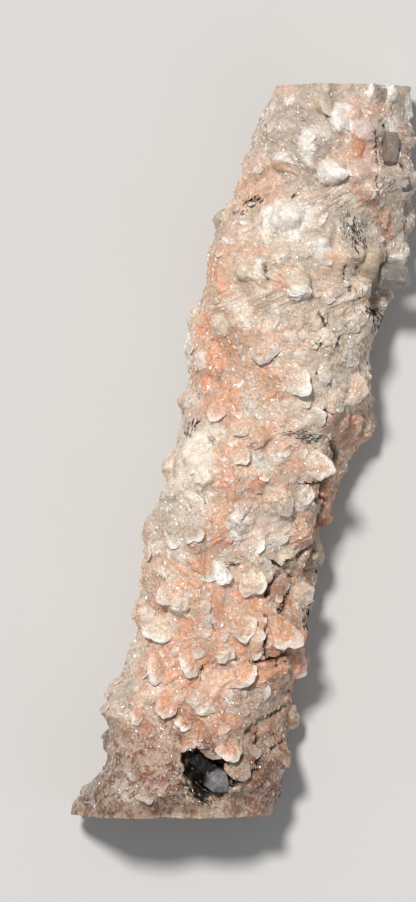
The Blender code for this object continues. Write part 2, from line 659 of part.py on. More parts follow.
# ---- assembly ----
def main():
    for item in list(bpy.data.objects):
        bpy.data.objects.remove(item, do_unlink=True)

    calcite = principled("calcite", (0.74, 0.42, 0.28), 0.5)
    massive_quartz = principled("massive_quartz", (0.46, 0.40, 0.33), 0.35)
    clear_quartz = principled("clear_quartz", (0.62, 0.60, 0.58), 0.08, transmission=0.8)
    smoky_quartz = principled("smoky_quartz", (0.28, 0.26, 0.26), 0.05, transmission=0.9)
    hematite = principled("specularite", (0.03, 0.03, 0.035), 0.25, metallic=1.0)

    crust = build_crust_block(calcite)
    tree, _ = surface_tree(crust)

    bar = build_quartz_bar("quartz_matrix", 0.0, 0.0, massive_quartz)
    apply_boolean(bar, build_rib("rib", 0.0, massive_quartz), "UNION")
    apply_boolean(crust, grow_crystals(crust, calcite), "UNION")
    apply_boolean(crust, build_quartz_bar("bar_seat", GAP * 1.2, 4.0, calcite), "DIFFERENCE")
    apply_boolean(crust, build_rib("rib_seat", GAP, calcite), "DIFFERENCE")
    for points in CRACKS.values():
        apply_boolean(crust, crack_cutter(points, tree, calcite), "DIFFERENCE")

    mouth, _ = surface_at(tree, *POCKET_AT)
    apply_boolean(crust, pocket_cutter(mouth, calcite), "DIFFERENCE")
    apply_boolean(bar, pocket_cutter(mouth, massive_quartz), "DIFFERENCE")
    build_pocket_specularite(mouth, hematite)

    long_way, _ = pocket_frame()
    root = mouth + long_way * 3.2 - Vector((0, 0, POCKET_DEPTH * 0.52))
    quartz_point("pocket_quartz_crystal", root, POCKET_TURN + 180, 16, 2.1, 5.4, smoky_quartz, 0.95)

    for name, (along, across, height, radius, length, heading, pitch) in QUARTZ_POINTS.items():
        crystal = quartz_point(name, Vector((along, across, height)), heading, pitch, radius, length,
                               clear_quartz, 0.5)
        for host in (crust, bar):
            apply_boolean(host, grown_hull(crystal, GAP, calcite), "DIFFERENCE")

    for name, (along, across, reach, blades, heading) in SPECULARITE.items():
        where, normal = surface_at(tree, along, across)
        cluster = build_specularite(name, where, normal, reach, blades, heading, hematite)
        for host in (crust, bar):
            apply_boolean(host, grown_hull(cluster, GAP, calcite), "DIFFERENCE")

    centre_on_origin(list(bpy.data.objects))
    for item in bpy.data.objects:
        finish(item)


main()
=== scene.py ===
"""Calcite and specularite on quartz: every visible surface, dressed around the solids.

The pieces follow the specimen as it grew: the quartz bar, the calcite crust on it, the
lens crystals and the flakes, the crystal in the pocket, the grey quartz crystals and the
specularite blades. The floor, the lights and the camera come last.
"""
import math

import bmesh
import bpy
import numpy as np
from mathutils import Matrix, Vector, noise
from mathutils.bvhtree import BVHTree


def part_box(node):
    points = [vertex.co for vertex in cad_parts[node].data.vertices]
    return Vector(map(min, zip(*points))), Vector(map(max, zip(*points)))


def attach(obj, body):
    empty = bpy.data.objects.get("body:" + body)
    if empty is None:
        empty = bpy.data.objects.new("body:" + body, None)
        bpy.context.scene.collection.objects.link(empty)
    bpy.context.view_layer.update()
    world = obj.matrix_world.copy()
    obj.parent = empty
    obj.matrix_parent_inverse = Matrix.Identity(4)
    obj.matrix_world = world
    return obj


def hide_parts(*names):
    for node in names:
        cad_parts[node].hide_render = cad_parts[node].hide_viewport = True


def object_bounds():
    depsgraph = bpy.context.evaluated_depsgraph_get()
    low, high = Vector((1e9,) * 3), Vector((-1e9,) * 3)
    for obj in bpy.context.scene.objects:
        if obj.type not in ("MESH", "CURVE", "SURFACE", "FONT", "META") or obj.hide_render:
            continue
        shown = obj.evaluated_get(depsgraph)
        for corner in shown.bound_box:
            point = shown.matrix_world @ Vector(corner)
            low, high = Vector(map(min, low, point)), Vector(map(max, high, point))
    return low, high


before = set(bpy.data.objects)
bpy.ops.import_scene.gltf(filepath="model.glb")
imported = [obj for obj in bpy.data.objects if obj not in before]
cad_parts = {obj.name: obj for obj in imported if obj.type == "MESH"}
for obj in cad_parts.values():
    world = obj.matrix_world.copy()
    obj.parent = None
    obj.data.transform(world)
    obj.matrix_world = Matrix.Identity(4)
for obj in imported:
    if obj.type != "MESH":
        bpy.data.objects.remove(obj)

cad_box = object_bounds()


# ---- quartz bar ----
# The matrix: one bar of massive grey-tan quartz, broken at both ends, chipped along its
# lower edges and trimmed flat on its back. It was the floor that the calcite grew on.
MM = 0.001
BAR_VOXEL = 0.62 * MM              # spacing of its mesh
BAR_CHIP = 0.55 * MM               # depth of the chips on its broken faces
BAR_LUMP = 9 * MM                  # sizes of the chips' forms, from coarse to fine
BAR_FACET = 4.5 * MM
BAR_GRIT = 1.4 * MM
TRIMMED_HEIGHT = 0.4 * MM          # the trimmed back has no chips up to this height
CHIP_RAMP = 1.6 * MM               # and they reach their full depth over this much more
BAR_CREASE = 38                    # edges sharper than this many degrees stay sharp


def copy_of(node, name):
    """A piece that starts as the solid of that node."""
    piece = bpy.data.objects.new(name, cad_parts[node].data.copy())
    bpy.context.scene.collection.objects.link(piece)
    piece.data.materials.clear()
    return piece


def remesh(piece, voxel):
    """Even, fine mesh over the same closed form."""
    step = piece.modifiers.new("remesh", "REMESH")
    step.mode = "VOXEL"
    step.voxel_size = voxel
    evaluated = piece.evaluated_get(bpy.context.evaluated_depsgraph_get())
    fine = bpy.data.meshes.new_from_object(evaluated)
    piece.modifiers.clear()
    piece.data = fine


def points_of(piece):
    points = np.empty(len(piece.data.vertices) * 3)
    piece.data.vertices.foreach_get("co", points)
    return points.reshape(-1, 3)


def normals_of(piece):
    normals = np.empty(len(piece.data.vertices) * 3)
    piece.data.vertices.foreach_get("normal", normals)
    return normals.reshape(-1, 3)


def set_points(piece, points):
    piece.data.vertices.foreach_set("co", np.asarray(points, float).ravel())
    piece.data.update()


def keep_in_box(points):
    """Holds a fine mesh inside the box of the solids."""
    low, high = np.array(cad_box[0]), np.array(cad_box[1])
    return np.clip(points, low, high)


def rough(points, size, seed):
    """Soft noise from -1 to 1 at every point, with bumps about that many metres apart."""
    shift = Vector((seed * 7.31, seed * 3.17, seed * 5.93))
    return np.array([noise.noise(Vector(point) / size + shift) for point in points]) * 2.0


def cells(points, size, seed):
    """Distance to the nearest of many scattered points, from 0 to about 1."""
    shift = Vector((seed * 5.31, seed * 2.17, seed * 9.93))
    return np.array([noise.voronoi(Vector(point) / size + shift)[0][0] for point in points])


def add_node(tree, kind, sockets, **settings):
    """A shader node. Each of its sockets gets a value or the output of another node."""
    node = tree.nodes.new("ShaderNode" + kind)
    for name, value in settings.items():
        setattr(node, name, value)
    for name, value in sockets.items():
        if isinstance(value, bpy.types.NodeSocket):
            tree.links.new(value, node.inputs[name])
        else:
            node.inputs[name].default_value = value
    return node


GRAIN_TAKES = {"Tint": "Color", "Stain": "Color", "Stain Amount": "Float", "Grain Scale": "Float",
               "Roughness": "Float", "Glitter": "Float"}
GRAIN_GIVES = {"Color": "Color", "Roughness": "Float", "Height": "Float"}
UNDER, OVER, MIXED = 6, 7, 2       # sockets of a colour mix, by number
MOTTLE_SCALE = 620.0
FINE_SCALE = 3600.0
CLEAVAGE_GLINT = (0.92, 0.88, 0.82, 1)   # painted glint colour of the smoother cleavage grains
CLEAVAGE_GLINT_SHARE = 0.24              # how far that painted glint covers a grain's own colour
CLEAVAGE_POLISH = -0.34            # how much less rough such a grain is
SMOOTHEST = 0.06


def mineral_group():
    """Mottling, fine grain with painted shade along the grain borders, and scattered cleavage grains
    paled by a painted glint, for every mineral here.
    """
    group = bpy.data.node_groups.new("mineral_grain", "ShaderNodeTree")
    for way, sockets in (("INPUT", GRAIN_TAKES), ("OUTPUT", GRAIN_GIVES)):
        for name, kind in sockets.items():
            group.interface.new_socket(name=name, in_out=way, socket_type="NodeSocket" + kind)
    taken = group.nodes.new("NodeGroupInput").outputs
    given = group.nodes.new("NodeGroupOutput").inputs
    place = add_node(group, "TexCoord", {}).outputs["Object"]
    mottle = add_node(group, "TexNoise", {"Vector": place, "Scale": MOTTLE_SCALE, "Detail": 6.0,
                                          "Roughness": 0.62})
    fine = add_node(group, "TexNoise", {"Vector": place, "Scale": FINE_SCALE, "Detail": 4.0})
    grain = add_node(group, "TexVoronoi", {"Vector": place, "Scale": taken["Grain Scale"]}).outputs

    # Stained patches where the mottling is strong.
    patch = add_node(group, "MapRange", {"Value": mottle.outputs["Fac"], "From Min": 0.42,
                                         "From Max": 0.68})
    amount = add_node(group, "Math", {0: patch.outputs["Result"], 1: taken["Stain Amount"]},
                      operation="MULTIPLY")
    stained = add_node(group, "Mix", {"Factor": amount.outputs["Value"], UNDER: taken["Tint"],
                                      OVER: taken["Stain"]}, data_type="RGBA")

    # Every grain a little lighter or darker than the next, and darker along its border: painted shade in
    # the fine crevices between grains.
    value = add_node(group, "MapRange", {"Value": grain["Color"], "To Min": 0.86, "To Max": 1.13})
    border = add_node(group, "MapRange", {"Value": grain["Distance"], "From Min": 0.34,
                                          "From Max": 0.72, "To Min": 1.04, "To Max": 0.86})
    lightness = add_node(group, "Math", {0: value.outputs["Result"], 1: border.outputs["Result"]},
                         operation="MULTIPLY")
    shaded = add_node(group, "HueSaturation", {"Value": lightness.outputs["Value"],
                                               "Color": stained.outputs[MIXED]})

    # A few grains show a smoother cleavage face, and a painted glint makes them paler.
    split = add_node(group, "SeparateColor", {"Color": grain["Color"]})
    bright = add_node(group, "Math", {0: split.outputs["Green"], 1: taken["Glitter"]},
                      operation="LESS_THAN").outputs["Value"]
    fleck = add_node(group, "Math", {0: bright, 1: CLEAVAGE_GLINT_SHARE}, operation="MULTIPLY")
    flecked = add_node(group, "Mix", {"Factor": fleck.outputs["Value"], OVER: CLEAVAGE_GLINT,
                                      UNDER: shaded.outputs["Color"]}, data_type="RGBA")
    polished = add_node(group, "Math", {0: bright, 1: CLEAVAGE_POLISH, 2: taken["Roughness"]},
                        operation="MULTIPLY_ADD")
    limited = add_node(group, "Math", {0: polished.outputs["Value"], 1: SMOOTHEST},
                       operation="MAXIMUM")
    height = add_node(group, "Math", {0: fine.outputs["Fac"], 1: 0.45, 2: grain["Distance"]},
                      operation="MULTIPLY_ADD")
    group.links.new(flecked.outputs[MIXED], given["Color"])
    group.links.new(limited.outputs["Value"], given["Roughness"])
    group.links.new(height.outputs["Value"], given["Height"])
    return group


mineral_grain = mineral_group()


def mineral(name, stain, amounts, relief, finish):
    """A mineral: the tint stored on the mesh under the shared grain.

    amounts: share of stain, scale of the grain, roughness, share of glitter. relief: strength
    and depth. finish: plain values for the shader's own sockets.
    """
    material = bpy.data.materials.new(name)
    material.use_nodes = True
    tree = material.node_tree
    shader = tree.nodes["Principled BSDF"]
    tint = add_node(tree, "VertexColor", {}, layer_name="tint")
    values = dict(zip(("Stain Amount", "Grain Scale", "Roughness", "Glitter"), amounts))
    grain = add_node(tree, "Group", {"Tint": tint.outputs["Color"], "Stain": (*stain, 1), **values},
                     node_tree=mineral_grain)
    bump = add_node(tree, "Bump", {"Strength": relief[0], "Distance": relief[1],
                                   "Height": grain.outputs["Height"]})
    tree.links.new(bump.outputs["Normal"], shader.inputs["Normal"])
    tree.links.new(grain.outputs["Color"], shader.inputs["Base Color"])
    tree.links.new(grain.outputs["Roughness"], shader.inputs["Roughness"])
    for socket, value in finish.items():
        shader.inputs[socket].default_value = value
    return material


LAYOUT_MIDDLE = (0.011, -0.138)    # the box's middle, in the layout that the places use


def srgb(red, green, blue):
    """Colour as linear light, from 0 to 255 values."""
    return np.array([((value / 255 + 0.055) / 1.055) ** 2.4 for value in (red, green, blue)])


def to_layout(points):
    """Points of the frame as millimetres in the layout."""
    return np.asarray(points) / MM + np.array([*LAYOUT_MIDDLE, 0.0])


def from_layout(along, across, height=0.0):
    return Vector((along - LAYOUT_MIDDLE[0], across - LAYOUT_MIDDLE[1], height)) * MM


def blend(under, over, share):
    """Lays one colour over another by a share for each point."""
    return under * (1 - share[:, None]) + over * share[:, None]


def all_over(colour, points):
    """The same colour at every point."""
    return np.tile(colour, (len(points), 1))


def short_of(values, end, ramp):
    """1 where values are low, falling over that ramp to 0 at the end."""
    return np.clip((end - values) / ramp, 0, 1)


def past(values, start, ramp):
    """0 up to the start, rising over that ramp to 1."""
    return np.clip((values - start) / ramp, 0, 1)


def dress(piece, tints, material, crease=None):
    """Gives a piece its colours, point by point, and its material.

    It is smooth but for edges sharper than crease degrees, or flat faced without a crease.
    """
    layer = piece.data.color_attributes.new("tint", "FLOAT_COLOR", "POINT")
    full = np.ones((len(tints), 4))
    full[:, :3] = np.clip(tints, 0, 1)
    layer.data.foreach_set("color", full.ravel())
    piece.data.materials.append(material)
    if crease is not None:
        piece.data.shade_smooth()
        piece.data.set_sharp_from_angle(angle=math.radians(crease))
    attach(piece, "root")


# The open pocket near the foot, an oval bowl, in millimetres and degrees.
POCKET = {"at": (-64.1, 7.1), "half_long": 5.7, "half_short": 3.7, "turn": 54.0, "depth": 5.6}
BARE_RIB = (-19.0, -15.6, 9.0)     # where the quartz rib stands free of the crust
BARE_RIB_HALF = (5.2, 3.6, 6.4)


def pocket_reach(points):
    """Distance from the pocket's middle, as a share of its outline. 1 is on its rim."""
    where = to_layout(points)
    turn = math.radians(POCKET["turn"])
    along, across = where[..., 0] - POCKET["at"][0], where[..., 1] - POCKET["at"][1]
    to_tip = (along * math.cos(turn) + across * math.sin(turn)) / POCKET["half_long"]
    aside = (across * math.cos(turn) - along * math.sin(turn)) / POCKET["half_short"]
    way = np.arctan2(aside, to_tip)
    ragged = 1 + 0.08 * np.cos(3 * way + 0.6) + 0.06 * np.cos(7 * way) + 0.04 * np.cos(12 * way + 2)
    return np.hypot(to_tip, aside) / ragged


def rib_reach(points):
    """Distance from the bare rib's middle, as a share of its half sizes."""
    away = (to_layout(points) - np.array(BARE_RIB)) / np.array(BARE_RIB_HALF)
    return (np.abs(away) ** 4).sum(axis=-1) ** 0.25


MASSIVE = srgb(172, 161, 146)
RIB_TAN = srgb(190, 170, 142)
# Dark of the bare rib's own dots, and of the painted shade round the pocket
RIB_DOT_AND_POCKET_SHADE = srgb(34, 28, 25)
IRON_STAIN = (0.21, 0.15, 0.10)
RIB_DOT = 0.8 * MM                 # size of the dark dots on the bare rib
POCKET_FLOOR = 6 * MM              # above this height the bar gets painted shade round the pocket


def shade_massive_quartz():
    return mineral("massive_quartz", IRON_STAIN, (0.55, 1700.0, 0.42, 0.06), (0.5, 0.0004),
                   {"Subsurface Weight": 0.08, "Subsurface Scale": 0.001})


def build_quartz_bar():
    piece = copy_of("quartz_matrix", "quartz_bar")
    remesh(piece, BAR_VOXEL)
    points, normals = points_of(piece), normals_of(piece)
    shell = np.abs(rough(points, BAR_LUMP, 1)) * 0.9 + cells(points, BAR_FACET, 2) * 0.7
    chip = (shell + 0.25 * rough(points, BAR_GRIT, 3)) * BAR_CHIP
    side = past(points[:, 2], TRIMMED_HEIGHT, CHIP_RAMP)
    points = points - normals * (np.clip(chip, 0, None) * side)[:, None]
    set_points(piece, keep_in_box(points))
    dots = np.clip(2.4 * rough(points, RIB_DOT, 5) - 1.3, 0, 1)
    rib = blend(all_over(RIB_TAN, points), RIB_DOT_AND_POCKET_SHADE, dots)
    tint = blend(all_over(MASSIVE, points), rib, short_of(rib_reach(points), 1.5, 0.3))
    # Painted shade: the bar turns dark down round the pocket, where shade falls.
    deep = short_of(pocket_reach(points), 1.45, 0.2) * (points[:, 2] > POCKET_FLOOR)
    dress(piece, blend(tint, RIB_DOT_AND_POCKET_SHADE * 0.4, deep), shade_massive_quartz(), BAR_CREASE)
    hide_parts("quartz_matrix")


build_quartz_bar()


# ---- calcite crust ----
# The sheet of calcite over the bar, grown as small crystals through one another: peach to
# salmon where iron stained it, cream and grey-tan elsewhere. It is about 3 mm thick, breaks
# off square at both ends and thins to an uneven border along both sides. In millimetres.
SHEET_STEP = 0.345                 # spacing of the mesh
SHEET_GIRTH = 66.0                 # from one side border over the top to the other
SHEET_DEPTH = 3.2
SHEET_END = 72.6                   # where the broken end faces begin
END_PLANE = 73.2
END_DEPTH = 6.2                    # how far the broken end faces run in, past the bar's skin
BREAK_DEPTH = 0.3                  # how uneven the broken ends and the borders are
BREAK_GRAIN = 1.6
BORDER_GRAIN = 1.2
SHEET_CREASE = 50                  # degrees
STITCH = 8                         # fine steps to each step of the hidden inner face
SPINE_AT = -2.7                    # middle of the bar across its width, halfway along it
SPINE_SLANT = -0.238               # and how much that moves with each millimetre along it
SPINE_HEIGHT = 5.0                 # the rays that find the skin meet at this height
RAY_START = 70.0                   # and start this far out
RAY_LENGTH = 64.0
RAY_FAN = 112                      # degrees that they spread to either side
RAY_TURN = 0.55                    # degrees from one ray to the next
OFF_STATION = 0.0137               # keeps the rays off the edges of the solid's own sections
SEAT_MARGIN = 0.9                  # round the quartz crystals and the specularite
POCKET_SKIRT = 1.25                # the skin runs level over the pocket up to this reach
DEEPEST_DIP = 1.7                  # and over every dip deeper than this
BASE_PASSES = 9                    # smoothing of the skin,
GAP_PASSES = 60                    # of its side borders and of what fills its gaps,
DIP_PASSES = 40                    # of the level that a dip is measured from,
NORMAL_PASSES = 12                 # and of the outward directions
SPREAD_PASSES = 150                # how often filled places are evened with those around
RIB_CUT = 3.6                      # how far the sheet drops away over the bare rib
RIB_SIDE = -11                     # the rib is on this side of the sheet only
ROOTED = 0.35                      # how deep the small crystals stand in the skin
LUMP_FLOOR = 8                     # soft lumps raise the sheet above this height alone

SALMON = srgb(230, 166, 127)
DEEP_SALMON = srgb(206, 139, 100)
PEACH = srgb(234, 196, 166)
PINK = srgb(222, 192, 174)
CREAM = srgb(234, 218, 196)
WHITE = srgb(252, 247, 239)
IVORY = srgb(246, 234, 219)
TAN = srgb(206, 188, 164)
GREY = srgb(180, 169, 156)
LILAC = srgb(212, 194, 186)
PALE_GREY = srgb(214, 206, 196)
BROWN = srgb(146, 106, 82)
# Painted shade for the cracks and, deeper still, for the pocket's bowl
CRACK_AND_POCKET_SHADE = srgb(44, 32, 27)
SLATE = srgb(128, 124, 120)
WALL_RED = srgb(178, 112, 86)
DEPTH_OF_COLOUR = 1.08             # above 1, stained places are deeper and white ones stay white
FOOT_START = -48.0                 # from here to the foot the crust is darker and redder: a browner tone of its own and painted shade where the light falls off
FOOT_RAMP = 12.0
FOOT_TONE_AND_SHADE = np.array([0.54, 0.68, 0.78])
OWN_COLOUR = 0.55                  # share of a small crystal's own colour in the stains
HOLLOW_SHADE = 0.4                 # how much darker the sheet is down between its crystals
RIDGE_LIGHT = 0.12                 # and how much a painted highlight whitens their highest edges
# Clouds of colour in the ground between the stains: colour, size, strength.
CLOUDS = ((GREY, 4.2, 0.55), (PEACH, 3.0, 0.5), (WHITE, 2.2, 0.5))
# Ragged borders of the stains and of the soft lumps: depth, size of the waves, seed.
STAIN_WAVES = ((0.22, 7.0, 23), (0.32, 2.6, 21), (0.26, 0.9, 22))
LUMP_WAVES = ((0.6, 2.4, 71), (0.4, 1.0, 72))

# Stains of the crust in the order they lie over one another: colour, along, across, half
# along, half across, strength.
STAINS = (
    (GREY, 64.0, -18.0, 12.0, 20.0, 0.75), (PINK, 60.0, -21.0, 12.0, 8.0, 0.5),
    (GREY, 45.0, -14.0, 8.0, 7.0, 0.5), (DEEP_SALMON, 42.9, -28.0, 1.6, 1.6, 0.7),
    (GREY, 57.0, -32.0, 15.0, 4.0, 0.5), (GREY, 43.0, -22.0, 6.0, 8.0, 0.35),
    (CREAM, 40.0, -10.0, 9.0, 9.0, 0.35), (GREY, 22.0, -20.0, 11.0, 9.0, 0.1),
    (TAN, 25.7, 2.6, 3.2, 4.0, 0.6), (GREY, 10.0, -14.0, 6.0, 4.0, 0.4),
    (GREY, -14.6, 12.6, 8.6, 5.2, 0.6), (LILAC, -14.6, -3.6, 7.6, 6.0, 0.7),
    (CREAM, -12.0, -9.0, 4.5, 4.0, 0.5), (PEACH, -38.0, 4.0, 20.0, 20.0, 0.8),
    (DEEP_SALMON, -42.0, 2.0, 19.0, 17.0, 0.62), (SALMON, -33.0, 12.0, 9.0, 8.0, 0.75),
    (SALMON, -45.0, 14.0, 9.0, 9.0, 0.8), (SALMON, -38.0, -8.0, 9.0, 8.0, 0.8),
    (SALMON, -27.0, -12.0, 6.0, 4.0, 0.9), (SALMON, -55.0, 6.0, 7.0, 13.0, 0.85),
    (SALMON, -38.0, 1.0, 5.0, 9.0, 0.5), (BROWN, -61.0, 14.0, 9.0, 14.0, 0.5),
    (DEEP_SALMON, -63.0, -5.9, 9.0, 5.4, 0.75), (BROWN, -66.0, -3.0, 9.0, 9.0, 0.4),
    (GREY, -65.0, 28.0, 10.0, 9.0, 0.6), (BROWN, -67.0, 24.0, 9.0, 14.0, 0.5),
    (GREY, -50.0, -1.0, 3.4, 5.2, 0.6), (GREY, -46.0, 24.5, 8.0, 3.2, 0.7),
    (PEACH, 62.0, -25.0, 8.0, 5.5, 0.5), (DEEP_SALMON, 59.4, -22.8, 3.2, 2.0, 1.0),
    (PINK, 54.4, -24.2, 4.2, 2.7, 0.9), (DEEP_SALMON, 50.6, -24.0, 2.6, 2.3, 0.9),
    (PEACH, 58.3, -17.0, 1.7, 2.4, 0.9), (DEEP_SALMON, 67.8, -26.4, 2.0, 3.0, 0.35),
    (DEEP_SALMON, -29.0, -7.4, 5.0, 3.2, 0.9), (WALL_RED, -12.6, -17.6, 7.0, 2.0, 0.85),
    (WALL_RED, -28.6, -8.6, 3.4, 1.8, 0.6), (WALL_RED, -40.0, -7.6, 2.6, 3.4, 0.35),
    (WALL_RED, 4.4, -17.2, 2.4, 1.2, 0.6), (BROWN, -66.0, 20.0, 9.0, 15.0, 0.5),
    (DEEP_SALMON, -60.0, 19.0, 7.0, 5.0, 0.8), (BROWN, 60.8, -31.9, 4.2, 1.0, 0.5),
    (SLATE, 59.8, -15.5, 2.2, 1.7, 0.55),
    (SLATE, 44.2, -21.7, 3.4, 2.5, 0.5), (SLATE, 48.6, -1.8, 1.8, 2.4, 0.45),
    (SLATE, 27.6, -25.4, 3.4, 3.2, 0.3), (SLATE, 2.9, -12.3, 1.7, 4.6, 0.5),
    (SLATE, 4.5, 10.5, 2.4, 1.7, 0.5), (SLATE, -21.0, 1.4, 1.3, 2.6, 0.35),
    (DEEP_SALMON, 44.3, -28.1, 2.0, 1.5, 0.7), (TAN, 38.0, -25.8, 4.6, 2.8, 0.7),
    (SALMON, 52.0, -3.0, 6.0, 5.6, 0.6), (SALMON, 36.6, 4.9, 4.2, 3.4, 1.0),
    (SALMON, 39.8, 0.8, 1.5, 5.2, 0.9), (SALMON, 33.4, -7.2, 2.8, 1.4, 0.8),
    (PEACH, 35.0, 0.0, 5.0, 6.0, 0.6), (SALMON, 32.0, 5.5, 3.0, 4.0, 0.6),
    (PEACH, 31.0, -15.0, 4.0, 4.0, 0.4), (SALMON, 46.5, -27.5, 2.4, 2.0, 0.6),
    (SALMON, 22.0, 6.0, 5.6, 5.6, 1.0), (SALMON, 11.3, 4.4, 7.0, 6.2, 1.0),
    (SALMON, 22.0, -6.0, 2.6, 7.7, 0.6), (SALMON, 13.9, -4.1, 4.4, 5.0, 1.0),
    (PEACH, 16.6, -9.4, 2.6, 2.8, 0.8), (SALMON, 5.0, -21.6, 4.4, 5.2, 0.8),
    (CREAM, 2.6, 8.6, 4.0, 3.6, 0.8), (SALMON, 3.0, -5.5, 4.6, 5.6, 0.6),
    (SALMON, -4.6, 3.6, 7.2, 3.4, 1.0), (SALMON, -6.1, -3.5, 3.8, 5.8, 0.95),
    (SALMON, -3.0, -10.0, 2.2, 3.2, 0.8), (SALMON, -10.6, -16.6, 9.0, 3.4, 0.95),
    (SALMON, -15.4, 4.8, 6.8, 3.0, 1.0), (SALMON, -16.7, -11.4, 4.2, 3.2, 0.85),
    (SALMON, -25.0, 8.6, 5.8, 3.4, 0.9), (SALMON, -29.4, -1.0, 5.0, 3.4, 0.7),
    (SALMON, -25.0, -9.6, 4.6, 2.6, 0.9), (CREAM, -24.0, -4.6, 3.6, 2.6, 0.7),
    (CREAM, -0.6, 10.2, 4.4, 4.2, 1.0), (CREAM, -6.4, 10.2, 3.0, 4.8, 0.75),
    (WHITE, -2.0, 9.0, 3.0, 3.0, 0.6), (CREAM, -31.0, 12.6, 3.0, 3.2, 0.7),
    (CREAM, 17.0, -15.0, 14.0, 9.0, 0.3), (CREAM, -15.0, -5.0, 9.0, 4.6, 0.3),
    (WHITE, 46.3, -8.7, 3.6, 5.0, 0.7), (WHITE, 20.6, 11.3, 3.9, 1.1, 0.9),
    (WHITE, 18.4, 8.6, 2.1, 0.9, 0.7), (WHITE, -15.2, 0.9, 2.6, 1.9, 0.8),
    (WHITE, -24.7, 4.3, 2.6, 1.9, 0.8), (WHITE, 65.5, -29.1, 1.4, 1.4, 0.8),
    (WHITE, -61.1, 12.7, 2.4, 1.8, 1.0), (WHITE, -60.4, 1.0, 3.2, 1.6, 0.6),
    (WHITE, -32.3, 19.0, 1.4, 1.4, 0.6), (TAN, -28.7, -12.0, 3.0, 3.2, 0.8),
    (CREAM, -64.6, 0.4, 1.6, 2.0, 0.8), (WHITE, -67.6, 9.6, 3.0, 2.0, 0.5),
)
# Soft lumps, grown over with small crystals: colour, along, across, half along, half
# across, height, and how far they lack the small crystals.
SOFT_LUMPS = (
    (WHITE, 46.4, -8.7, 3.2, 5.2, 1.0, 0.6), (WHITE, 41.4, -15.3, 1.3, 1.7, 0.5, 0.5),
    (PINK, 43.5, 2.4, 2.8, 2.4, 0.8, 0.3), (WHITE, 38.6, -15.6, 1.9, 1.7, 0.7, 0.5),
    (PEACH, 38.0, -18.6, 2.0, 2.4, 0.6, 0.4), (CREAM, 33.4, -11.0, 3.8, 2.7, 1.1, 0.5),
    (WHITE, 31.6, -11.0, 1.6, 2.2, 0.3, 0.3), (TAN, 37.4, -25.2, 4.2, 2.8, 0.9, 0.6),
    (WHITE, 37.8, -30.9, 1.6, 1.8, 0.7, 0.4), (CREAM, 35.6, -0.6, 2.0, 2.8, 0.8, 0.4),
    (WHITE, 35.8, -2.9, 2.2, 0.7, 0.3, 0.2), (CREAM, 27.4, 0.3, 2.0, 1.9, 0.6, 0.4),
    (WHITE, 71.4, -25.6, 1.3, 1.0, 0.5, 0.4), (WHITE, 71.2, -29.3, 1.8, 1.8, 0.8, 0.5),
    (GREY, 69.3, -31.6, 2.2, 1.5, 0.7, 0.5), (WHITE, 69.2, -33.4, 2.4, 1.2, 0.8, 0.5),
    (WHITE, 65.6, -29.0, 0.9, 0.9, 0.6, 0.6), (PINK, 69.2, -21.6, 1.8, 1.9, 0.6, 0.4),
    # The white lump at 70.0, -9.2 is a painted glint, as is the head_left_glint crystal on it.
    (WHITE, 70.0, -9.2, 1.0, 1.2, 0.3, 0.3), (PINK, 72.0, -8.0, 1.4, 2.2, 0.5, 0.3),
    (WHITE, 66.0, -19.8, 3.4, 2.9, 1.1, 0.8), (PALE_GREY, 63.4, -15.9, 1.6, 2.8, 0.8, 0.6),
    (TAN, 69.0, -15.7, 2.4, 2.0, 0.9, 0.7), (PINK, 67.0, -22.2, 1.5, 1.6, 0.9, 0.9),
    (LILAC, 63.4, -24.9, 2.3, 3.2, 0.9, 0.9), (WHITE, 60.6, -12.4, 4.0, 1.5, 0.8, 0.5),
    (DEEP_SALMON, 59.6, -22.8, 2.4, 1.6, 0.4, 0.6), (PINK, 55.6, -23.0, 2.6, 2.4, 0.8, 0.7),
    (WHITE, 55.2, -17.4, 2.5, 3.1, 1.3, 0.9), (PEACH, 57.3, -7.3, 2.0, 2.0, 0.8, 0.6),
    (WHITE, 58.6, -7.6, 0.8, 2.3, 0.4, 0.4), (PINK, 56.8, -2.6, 2.2, 2.0, 0.6, 0.4),
    (IVORY, -1.6, 9.4, 5.6, 3.6, 0.7, 0.9), (IVORY, 4.2, 6.4, 2.6, 1.6, 0.3, 0.6),
    (CREAM, 24.6, 4.8, 2.2, 1.8, 0.5, 0.3), (PEACH, 24.0, -4.6, 1.4, 2.4, 0.5, 0.4),
    (CREAM, 9.8, -10.6, 2.4, 3.4, 0.6, 0.5), (CREAM, -22.2, -8.4, 2.4, 2.2, 0.7, 0.6),
    (CREAM, -25.4, -3.0, 2.6, 3.0, 0.6, 0.5), (PEACH, -37.4, -2.6, 2.6, 3.2, 0.7, 0.5),
    (CREAM, -35.4, 17.0, 2.2, 2.6, 0.8, 0.5), (PEACH, -45.5, 5.0, 2.4, 4.2, 0.4, 0.4),
    (CREAM, -31.0, 12.6, 1.8, 2.0, 0.6, 0.4), (PALE_GREY, -33.8, 6.8, 1.6, 1.2, 0.4, 0.5),
    (WHITE, -59.4, 1.4, 2.2, 2.4, 0.4, 0.4), (WHITE, -24.6, 4.6, 2.4, 1.4, 0.4, 0.5),
    (PEACH, 4.4, -0.2, 2.0, 2.0, 0.6, 0.5), (PEACH, -1.4, 0.6, 2.2, 2.0, 0.6, 0.4),
    (CREAM, -64.4, 1.0, 1.2, 1.2, 0.5, 0.3), (WHITE, -13.2, 1.6, 1.0, 1.6, 0.3, 0.5),
    (PALE_GREY, -1.4, -3.2, 1.6, 1.4, 0.5, 0.3),
)
